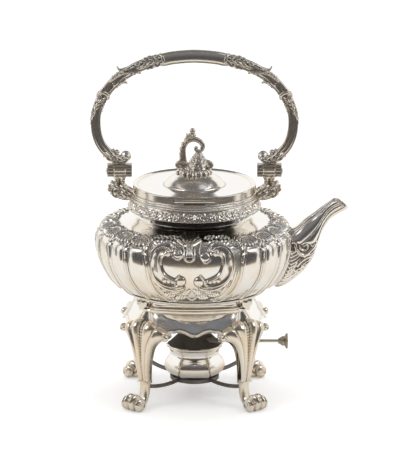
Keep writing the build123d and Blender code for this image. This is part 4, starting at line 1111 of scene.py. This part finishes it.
def spout_work(x, z, share):
    """The spout's flutes above and the acanthus below, drawn as seen from the side. share runs round from the
    spout's upper line to its lower one."""
    work = Chasing(x, z)
    work.height = 2.1 * flutes(share, SPOUT_FLUTES) * ramp(z + 0.10 * (x - 100.0), 158.5, 163.0)
    for step in range(9):
        foot_x, foot_z = 88.5 + 1.6 * min(step, 5), 121.5 + 3.7 * step
        vein = [(foot_x, foot_z), (foot_x + 4.5, foot_z + 1.6), (foot_x + 8.5, foot_z + 4.2)]
        work.ridge(vein, 1.7, 1.7, (1.0, 0.5))
    for line, width, height in SPOUT_RIDGES:
        work.ridge(line, width, height, (0.7, 0.8))
    return work.height


class KETTLE_OT_spout(bpy.types.Operator):
    """Make the fluted spout with its acanthus root, and the wall inside its mouth"""
    bl_idname = "kettle.spout"
    bl_label = "Spout"
    bl_options = {"REGISTER", "UNDO"}

    def execute(self, context):
        stations = smooth_path(SPOUT_STATIONS, 300)

        def place(s, t):
            outside, inner = t <= SPOUT_OUTSIDE, 1.0 - SPOUT_OUTSIDE
            along = np.where(outside, t / SPOUT_OUTSIDE, 1.0 - (t - SPOUT_OUTSIDE) / inner * 0.6)
            upper_x, upper_z, lower_x, lower_z, wide = sample(stations, along)
            zero, turn = np.zeros_like(wide), s * TURN
            up = np.stack([upper_x - lower_x, zero, upper_z - lower_z], axis=1) / 2
            centre = np.stack([(upper_x + lower_x) / 2, zero, (upper_z + lower_z) / 2], axis=1)
            plain = centre + up * np.cos(turn)[:, None]
            work = spout_work(plain[:, 0], plain[:, 2], 2.0 * np.where(s <= 0.5, s, 1.0 - s)) - 1.1
            lip = 0.3 * bump(along, 0.985, 0.012)
            lift = np.where(outside, work * (1.0 - ramp(along, 0.97, 1.0)) + lip, -1.5)
            high = np.linalg.norm(up, axis=1)
            return (centre + up / high[:, None] * ((high + lift) * np.cos(turn))[:, None]
                    - np.array(Y) * ((wide + lift) * np.sin(turn))[:, None])

        Piece().grid(200, 260, place).finish("fluted_spout", "kettle", "body", ["spout", "spout_nozzle"])
        return {"FINISHED"}


# Stand. Skirt and collar are rounded squares: (height, reach at a side's middle, half side at a corner)

CORNER_PULL = 4.95
CORNER_SHARE = 0.28
SKIRT_TOP = 98.0
SKIRT_LINE = [(76.5, 73.4, 52.0), (81.0, 71.2, 51.7), (85.0, 68.7, 51.2), (89.0, 66.0, 50.6),
              (93.2, 62.8, 50.1), (96.4, 59.4, 49.8), (SKIRT_TOP, 57.5, 49.7)]
COLLAR_LINE = [(98.0, 57.4, 49.6), (99.0, 58.3, 50.3), (100.2, 58.5, 50.5), (101.2, 57.6, 49.8),
               (101.8, 56.6, 49.1), (102.6, 56.8, 49.2), (103.2, 56.0, 48.6), (104.4, 54.4, 47.4),
               (106.0, 53.7, 46.9), (107.6, 54.0, 47.1), (108.6, 55.0, 48.0), (109.0, 54.8, 47.9),
               (109.0, 46.0, 32.6), (108.4, 45.2, 32.0), (104.0, 45.2, 32.0), (103.0, 50.0, 40.0),
               (98.0, 55.0, 47.5), (98.0, 57.4, 49.6)]
SKIRT_OUTSIDE = 0.55


def four_sides(s):
    """For shares of the way round: the side, 0 to 3 counted from the front, and the place on it, -1 to 1."""
    side = np.minimum((s * 4).astype(int), 3)
    return side, (s * 4 - side) * 2 - 1


def square_point(side, u, middle, corner, height):
    """A point on a rounded square, whose corners are drawn in."""
    bulge = np.maximum(middle - corner, 0.05)
    radius = (corner**2 + bulge**2) / (2 * bulge)
    beta = u * np.arcsin(np.clip(corner / radius, -1, 1))
    pull = CORNER_PULL * np.clip(1.0 - (1.0 - np.abs(u)) / CORNER_SHARE, 0.0, 1.0) ** 2 / math.sqrt(2.0)
    across = radius * np.sin(beta) - np.sign(u) * pull
    out = middle - radius + radius * np.cos(beta) - pull
    c, n = np.cos(side * np.pi / 2), np.sin(side * np.pi / 2)
    return np.stack([across * c + out * n, across * n - out * c, height], axis=1)


def skirt_edge(u):
    """Height of the scalloped lower edge of the skirt, at a place along its side."""
    x = np.abs(u) * 52.0
    return 82.2 - 4.2 * bump(x, 0.0, 8.0) - 1.4 * ramp(x, 14.0, 20.0) - 3.6 * ramp(x, 21.0, 30.0)


def make_skirt():
    course = smooth_path(SKIRT_LINE, 120)

    def place(s, t):
        side, u = four_sides(s)
        low, outside = skirt_edge(u), t <= SKIRT_OUTSIDE
        share = np.where(outside, 1.0 - t / SKIRT_OUTSIDE, (t - SKIRT_OUTSIDE) / (1.0 - SKIRT_OUTSIDE))
        edge = (SKIRT_TOP - low) * share
        middle, corner = (np.interp(low + edge, course[:, 0], column) for column in course.T[1:])
        rim = 0.9 * bump(edge, 0.9, 0.8) - 0.35 * bump(edge, 2.9, 0.7)
        lift = np.where(t > 0.999, -0.5, np.where(outside, rim - 0.5, -2.0))
        return square_point(side, u, middle + lift, corner + lift, low + edge)

    return Piece().grid(400, 80, place)


def make_collar():
    def place(s, t):
        height, middle, corner = sample(COLLAR_LINE, t)
        return square_point(*four_sides(s), middle, corner, height)

    return Piece().grid(240, 68, place)


# The leg, as (height, reach from the axis) of its front and its back
LEG_OUT = [(8.0, 76.0), (12.0, 74.2), (18.0, 73.2), (24.0, 72.8), (30.0, 73.5), (46.0, 76.0), (62.0, 77.0),
           (77.0, 77.6), (84.0, 77.3), (88.0, 75.6), (92.5, 71.5)]
LEG_IN = [(8.0, 69.0), (17.0, 66.8), (30.0, 67.0), (46.0, 69.2), (62.0, 70.6), (72.0, 69.0), (77.0, 67.4),
          (92.5, 64.5)]
# Its outline from the front, as (share up, half width, height at the edge, height at the middle)
LEG_FACE = [(0.0, 6.4, 26.5, 26.5), (0.12, 7.0, 34.0, 34.0), (0.38, 10.2, 50.0, 50.0),
            (0.62, 14.6, 64.0, 64.0), (0.76, 19.5, 70.5, 73.0), (0.9, 26.0, 75.0, 83.0),
            (1.0, 29.5, 78.6, 90.0)]
LEG_FLUTES = ((0.125, 0.54), (0.54, 1.0))
LEG_FRONT = 0.6
ANKLE = [(69.6, 29.0), (69.6, 22.0), (70.4, 15.0), (72.8, 9.0), (77.2, 5.0), (83.0, 3.4)]
# Each toe is (y, half length, half width)
TOES = ((-9.5, 6.8, 2.9), (-3.3, 8.5, 3.5), (3.3, 8.5, 3.5), (9.5, 6.8, 2.9))


def leg_shape(s, t):
    """Points of the leg's knee and shank. s runs over the front and back over the back, t runs up."""
    front = s <= LEG_FRONT
    w = np.where(front, s / LEG_FRONT * 2 - 1, 1 - (s - LEG_FRONT) / (1 - LEG_FRONT) * 2)
    q = np.abs(w)
    flute = flutes(q, LEG_FLUTES)
    face = smooth_path(LEG_FACE, 60)
    half_width, end, middle = (np.interp(t, face[:, 0], column) for column in face.T[1:])
    mix = q**1.4
    height = end * mix + middle * (1 - mix) + (4.4 * flute - 1.6) * ramp(t, 0.72, 1.0)
    across = w * half_width
    out, inner = (np.interp(height, *np.array(line).T) for line in (LEG_OUT, LEG_IN))
    depth = 1.5 + 2.4 * ramp(t, 0.10, 0.8)
    beads = np.abs(np.cos(np.pi * height / 3.0)) ** 0.7
    channel = 0.9 * beads * bump(q, 0.0, 0.045) - 1.2 * bump(q, 0.105, 0.03)
    relief = depth * flute + channel * (1 + ramp(t, 0.5, 1.0)) - 0.42 * depth
    turned = np.clip((t - 0.84) / 0.16, 0.0, 1.0)
    relief = relief - 5.0 * (1.0 - np.sqrt(1.0 - turned**2)) * (1 - 0.3 * flute)
    radius = np.where(front, out + relief - 0.4, inner)
    radius = np.where((t < TINY) | (t > 1 - TINY), (out + inner) / 2, radius)
    return np.stack([np.sqrt(np.maximum(radius**2 - across**2, 1.0)), across, height], axis=1)


def make_leg(turn):
    """A cabriole leg. It is made with x outwards and y across, and turned into its corner."""
    leg = Piece().grid(160, 110, leg_shape)
    leg.sweep(ANKLE, lambda t: 5.6 + 1.6 * ramp(t, 0.5, 1.0), lambda t: 3.0 - 0.2 * t, 32, 50, 0.55)
    leg.sweep([(70.4, -7.0, 26.6), (70.4, 0, 26.9), (70.4, 7.0, 26.6)], 4.0, 1.1, 16, 20, 0.8, side=X)
    for y, reach, half in TOES:
        leg.ball((87.3 - 0.5 * (8.7 - reach), y, reach + 0.05), (reach, half, reach), 32, 20)
    leg.sweep([(86.6, -10.0, 7.0), (86.6, 0, 7.4), (86.6, 10.0, 7.0)], 4.4, 4.4, 24, 12, side=X)
    for sign in (-1, 1):
        foot_y, knee_y = sign * 11.4, sign * 28.8
        turns = spiral((86.6, 7.4), 5.2, 1.4, 180.0, 0.2, 40)
        leg.sweep([(a, foot_y, b) for a, b in turns], 1.2, 1.1, 10, 60)
        leg.ball((86.6, foot_y, 7.4), (1.9, 1.6, 1.9))
        turns = spiral((knee_y, 77.0), 3.3, -sign * 1.3, 100.0, 0.25, 40)
        leg.sweep([(71.0, a, b) for a, b in turns], lambda t: 3.0 - 0.6 * t, lambda t: 1.6 - 0.5 * t,
                  12, 60, side=X)
        leg.ball((70.6, knee_y, 77.0), (3.2, 1.6, 1.6))
    c, n = math.cos(math.radians(turn)), math.sin(math.radians(turn))
    return leg.moved(lambda p: np.stack([p[:, 0] * c - p[:, 1] * n, p[:, 0] * n + p[:, 1] * c, p[:, 2]],
                                        axis=1))


class KETTLE_OT_stand(bpy.types.Operator):
    """Make the stand's skirt, collar and four legs"""
    bl_idname = "kettle.stand"
    bl_label = "Stand"
    bl_options = {"REGISTER", "UNDO"}

    def execute(self, context):
        make_skirt().finish("scalloped_skirt", "stand", "plain", ["stand_skirt"], 50)
        make_collar().finish("moulded_collar", "stand", "plain", ["stand_collar"], 50)
        for turn, name in ((45, "back_right"), (135, "back_left"), (225, "front_left"), (315, "front_right")):
            make_leg(turn).finish("scroll_leg_" + name, "stand", "cast_leg", ["leg_" + name])
        return {"FINISHED"}


# Lamp, with its profile as (height, reach to a corner)

LAMP_LINE = [(20.5, 22.5), (21.6, 25.6), (24.0, 28.4), (27.0, 30.3), (30.5, 31.0), (34.0, 30.2), (37.2, 28.3),
             (39.8, 26.2), (41.6, 25.0), (43.2, 24.7), (45.2, 25.0), (47.4, 25.8), (49.4, 26.8), (50.6, 27.3),
             (52.0, 27.4)]
LAMP_OUTSIDE = 0.75
FACET_BULGE = 1.6
KNOB_LINE = [(0.0, 0.0), (3.0, 0.0), (3.1, 1.4), (4.3, 2.8), (5.1, 4.6), (4.9, 6.0), (6.4, 6.9), (7.8, 7.9),
             (7.9, 9.0), (6.4, 9.8), (3.0, 9.5), (0.0, 9.9)]
KNOB_START = (84.0, -12.0, 58.0)


def facets(s):
    """For shares of the way round: the angle from the middle of a facet, and the angle round the lamp."""
    facet = np.minimum((s * 6).astype(int), 5)
    beta = (s * 6 - facet - 0.5) * np.pi / 3
    return beta, beta + facet * np.pi / 3 + np.pi / 6


def facet_point(beta, turn, reach, height, raised):
    """A point on a six-sided section with bulging facets."""
    radius = reach * math.cos(math.pi / 6) / np.cos(beta) + FACET_BULGE * np.cos(3 * beta) + raised
    return np.stack([radius * np.cos(turn), radius * np.sin(turn), height], axis=1)


class KETTLE_OT_lamp(bpy.types.Operator):
    """Make the six-sided lamp bowl with its rolled rim, and its control knob"""
    bl_idname = "kettle.lamp"
    bl_label = "Spirit lamp"
    bl_options = {"REGISTER", "UNDO"}

    def execute(self, context):
        line = smooth_path(LAMP_LINE, 120)

        def wall(s, t):
            outside = t <= LAMP_OUTSIDE
            inner = 1.0 - (t - LAMP_OUTSIDE) / (1.0 - LAMP_OUTSIDE) * 0.35
            height, reach = sample(line, np.where(outside, t / LAMP_OUTSIDE, inner))
            beta, turn = facets(s)
            seam = 1.0 - ramp(np.pi / 6 - np.abs(beta), 0.0, 0.05)
            groove = 0.6 * seam * ramp(height, 21.0, 24.0) * (1.0 - ramp(height, 44.0, 47.0))
            return facet_point(beta, turn, reach, height, -groove - np.where(outside, 0.0, 1.2))

        bowl = Piece().grid(240, 110, wall)
        for reach, height, size in ((27.6, 51.5, 1.0), (26.9, 48.9, 0.85)):
            bowl.grid(144, 10, lambda s, t: facet_point(*facets(s), reach, height + size * np.sin(t * TURN),
                                                        size * np.cos(t * TURN)))
        bowl.finish("lamp_reservoir", "lamp", "plain", ["lamp_bowl"], 60)
        knob = Piece().spun(smooth_path(KNOB_LINE, 60), 56, X, KNOB_START, Z)
        knob.finish("flared_knob", "control", "knob", ["control_knob"], slot="knob")
        return {"FINISHED"}


# Stage, in metres

WHITE = (1.0, 1.0, 1.0, 1.0)
WARM_BLOTCH = (0.17, 0.115, 0.07, 1.0)
CARD_HEIGHT = 1.1
# Curved walls, as (share of the height, half the reach in degrees)
FRONT_SPANS = ((0.0, 78.0), (0.20, 78.0), (0.36, 52.0), (0.55, 44.0), (1.0, 42.0))
STRIP_SPANS = ((0.0, 4.0), (0.58, 4.0), (0.70, 46.0), (1.0, 50.0))
# Each lamp is (name, place, size, power)
LAMPS = (("lamp_left", (-1.6, -0.9, 1.7), 1.2, 9.0), ("lamp_right", (1.7, -0.6, 1.8), 1.2, 9.0),
         ("lamp_top", (0.0, 0.5, 2.2), 1.6, 12.0))
LAMP_TARGET = Vector((0.0, 0.0, 0.15))
CAMERA_TARGET = Vector((0.0055, 0.0, 0.1677))
CAMERA_DISTANCE = 6.0
PICTURE_HEIGHT = 0.464
SENSOR_HEIGHT = 24.0


def make_world(scene):
    """An even light that camera, glossy and transmission rays see as white."""
    world = bpy.data.worlds.new("studio")
    scene.world = world
    world.use_nodes = True
    nodes = Nodes(world.node_tree)
    seen = nodes.ray("Is Camera Ray")
    for kind in ("Is Glossy Ray", "Is Transmission Ray"):
        seen = seen.maths("MAXIMUM", seen, nodes.ray(kind))
    level = nodes.add("ShaderNodeMapRange", {}, {"Value": seen, "To Min": 0.62, "To Max": 1.0})
    background = world.node_tree.nodes["Background"]
    nodes.join(background.inputs["Color"], WHITE)
    nodes.join(background.inputs["Strength"], level)


def make_floor(settings):
    """The pale floor, with warm blotches where the silver mirrors it."""
    maker = Maker("pale_floor")
    floor, warm = rgba(settings.floor_colour), rgba(settings.warm_floor)
    blotched = maker.blend(maker.steps(maker.noise(9.0, 3.0), 0.38, 0.62), warm, floor)
    colour = maker.blend(maker.ray("Is Glossy Ray"), floor, blotched)
    glow = maker.blend(maker.ray("Is Camera Ray"), (0.0, 0.0, 0.0, 1.0), (0.33, 0.33, 0.33, 1.0))
    maker.finish(colour, 0.9, 0.0, Specular_IOR_Level=0.0, Emission_Color=glow, Emission_Strength=1.0)
    bm = bmesh.new()
    bmesh.ops.create_grid(bm, x_segments=1, y_segments=1, size=12.0)
    new_object("floor", bm, maker.material)


def card_material(name, stops, height, scale):
    """An emission whose colour runs up a card of this height and is broken up by soft blotches."""
    maker = Maker(name)
    uneven = maker.along("Z") / height + 0.16 * (maker.noise(scale, 2.0) - 0.5)
    colour = maker.add("ShaderNodeValToRGB", {"stops": stops}, (uneven,))
    blotch = maker.steps(maker.noise(scale * 1.7, 3.0), 0.50, 0.68)
    glow = maker.add("ShaderNodeEmission", {}, {"Color": maker.blend(0.55 * blotch, colour, WARM_BLOTCH)})
    maker.tree.nodes.remove(maker.shader)
    maker.join(maker.tree.nodes["Material Output"].inputs["Surface"], glow)
    return maker.material


def reflected_card(name, bm, material):
    """A card that only reflections see."""
    made = new_object(name, bm, material)
    for ray in ("camera", "diffuse", "shadow", "transmission", "volume_scatter"):
        setattr(made, "visible_" + ray, False)


def curved_card(name, middle, spans, material, radius):
    """An upright card round the kettle, about a middle angle in degrees."""
    bm = bmesh.new()
    shares, halves = zip(*spans)
    for vertex in bmesh.ops.create_grid(bm, x_segments=32, y_segments=24, size=0.5)["verts"]:
        share = vertex.co.y + 0.5
        turn = math.radians(middle + 2.0 * vertex.co.x * float(np.interp(share, shares, halves)))
        vertex.co = (radius * math.sin(turn), -radius * math.cos(turn), CARD_HEIGHT * share)
    reflected_card(name, bm, material)


def flat_card(name, centre, width, depth, material):
    """A level card over the kettle."""
    bm = bmesh.new()
    bmesh.ops.create_grid(bm, x_segments=1, y_segments=1, size=0.5)
    bmesh.ops.scale(bm, vec=(width, depth, 1.0), verts=bm.verts)
    bmesh.ops.translate(bm, vec=centre, verts=bm.verts)
    reflected_card(name, bm, material)


def make_cards(settings):
    """A dark room behind the camera that narrows upwards, dark strips at the sides that widen upwards, a dark
    ceiling and a cool window under it."""
    dark, reach = settings.dark_colour, settings.card_distance
    tones = [(0.0, (0.24, 0.18, 0.12, 1.0)), (0.07, rgba(dark, 1.2)), (0.22, rgba(dark)),
             (0.36, rgba(dark, 1.9)), (0.60, (0.20, 0.21, 0.23, 1.0)), (1.0, rgba(dark, 2.0))]
    front = card_material("front_tones", tones, CARD_HEIGHT, 4.0)
    above = card_material("ceiling_tones", [(0.0, rgba(dark, 1.8)), (1.0, rgba(dark, 1.8))], 1.0, 3.0)
    sky = [(0.0, (0.60, 0.68, 0.82, 1.0)), (1.0, (0.66, 0.74, 0.88, 1.0))]
    cool = card_material("cool_tones", sky, 1.0, 2.0)
    curved_card("front_card", 0.0, FRONT_SPANS, front, reach)
    for side, name in ((-1, "left"), (1, "right")):
        curved_card("side_strip_" + name, side * 96.0, STRIP_SPANS, front, reach * 1.3)
    flat_card("ceiling_card", (0.0, 0.33, 1.11), 1.15, 1.75, above)
    flat_card("cool_window", (0.30, -0.16, 1.0), 0.26, 0.40, cool)


def make_lamps(scene):
    for name, place, size, power in LAMPS:
        light = bpy.data.lights.new(name, "AREA")
        light.size, light.energy = size, power
        lamp = bpy.data.objects.new(name, light)
        lamp.location = place
        lamp.rotation_euler = (LAMP_TARGET - lamp.location).to_track_quat("-Z", "Y").to_euler()
        scene.collection.objects.link(lamp)


def make_camera(scene, rise):
    """A long lens in front of the kettle: one pixel of a 400 by 464 picture is one millimetre at its axis."""
    lens = bpy.data.cameras.new("camera")
    lens.sensor_fit = "VERTICAL"
    lens.sensor_height = SENSOR_HEIGHT
    lens.lens = SENSOR_HEIGHT * CAMERA_DISTANCE / PICTURE_HEIGHT
    lens.clip_end = 50.0
    camera = bpy.data.objects.new("camera", lens)
    camera.location = CAMERA_TARGET + CAMERA_DISTANCE * Vector((0.0, -math.cos(rise), math.sin(rise)))
    camera.rotation_euler = (math.pi / 2 - rise, 0.0, 0.0)
    scene.collection.objects.link(camera)
    scene.camera = camera


class KETTLE_OT_stage(bpy.types.Operator):
    """Make the pale floor, the soft light, the dark cards that the silver reflects, and the camera"""
    bl_idname = "kettle.stage"
    bl_label = "Stage"
    bl_options = {"REGISTER", "UNDO"}

    def execute(self, context):
        scene, settings = context.scene, context.scene.kettle_stage
        make_world(scene)
        make_floor(settings)
        make_cards(settings)
        make_lamps(scene)
        make_camera(scene, settings.camera_rise)
        scene.view_settings.view_transform = "Standard"
        return {"FINISHED"}


class KETTLE_PT_panel(bpy.types.Panel):
    """The kettle's sizes, colours and steps"""
    bl_idname = "KETTLE_PT_panel"
    bl_label = "Spirit kettle"
    bl_space_type = "VIEW_3D"
    bl_region_type = "UI"
    bl_category = "Kettle"

    def draw(self, context):
        for group in (context.scene.kettle_look, context.scene.kettle_stage):
            for name in type(group).__annotations__:
                self.layout.prop(group, name)
        for operator in OPERATORS:
            self.layout.operator(operator.bl_idname)


OPERATORS = (KETTLE_OT_finishes, KETTLE_OT_body, KETTLE_OT_mouth, KETTLE_OT_spout, KETTLE_OT_lid,
             KETTLE_OT_handle, KETTLE_OT_stand, KETTLE_OT_lamp, KETTLE_OT_stage)
CLASSES = (KettleLook, StageSettings, *OPERATORS, KETTLE_PT_panel)


def register():
    for made in CLASSES:
        bpy.utils.register_class(made)
    bpy.types.Scene.kettle_look = bpy.props.PointerProperty(type=KettleLook)
    bpy.types.Scene.kettle_stage = bpy.props.PointerProperty(type=StageSettings)


def unregister():
    del bpy.types.Scene.kettle_stage
    del bpy.types.Scene.kettle_look
    for made in reversed(CLASSES):
        bpy.utils.unregister_class(made)


def main():
    register()
    for operator in OPERATORS:
        group, name = operator.bl_idname.split(".")
        getattr(getattr(bpy.ops, group), name)()


if __name__ == "__main__":
    main()
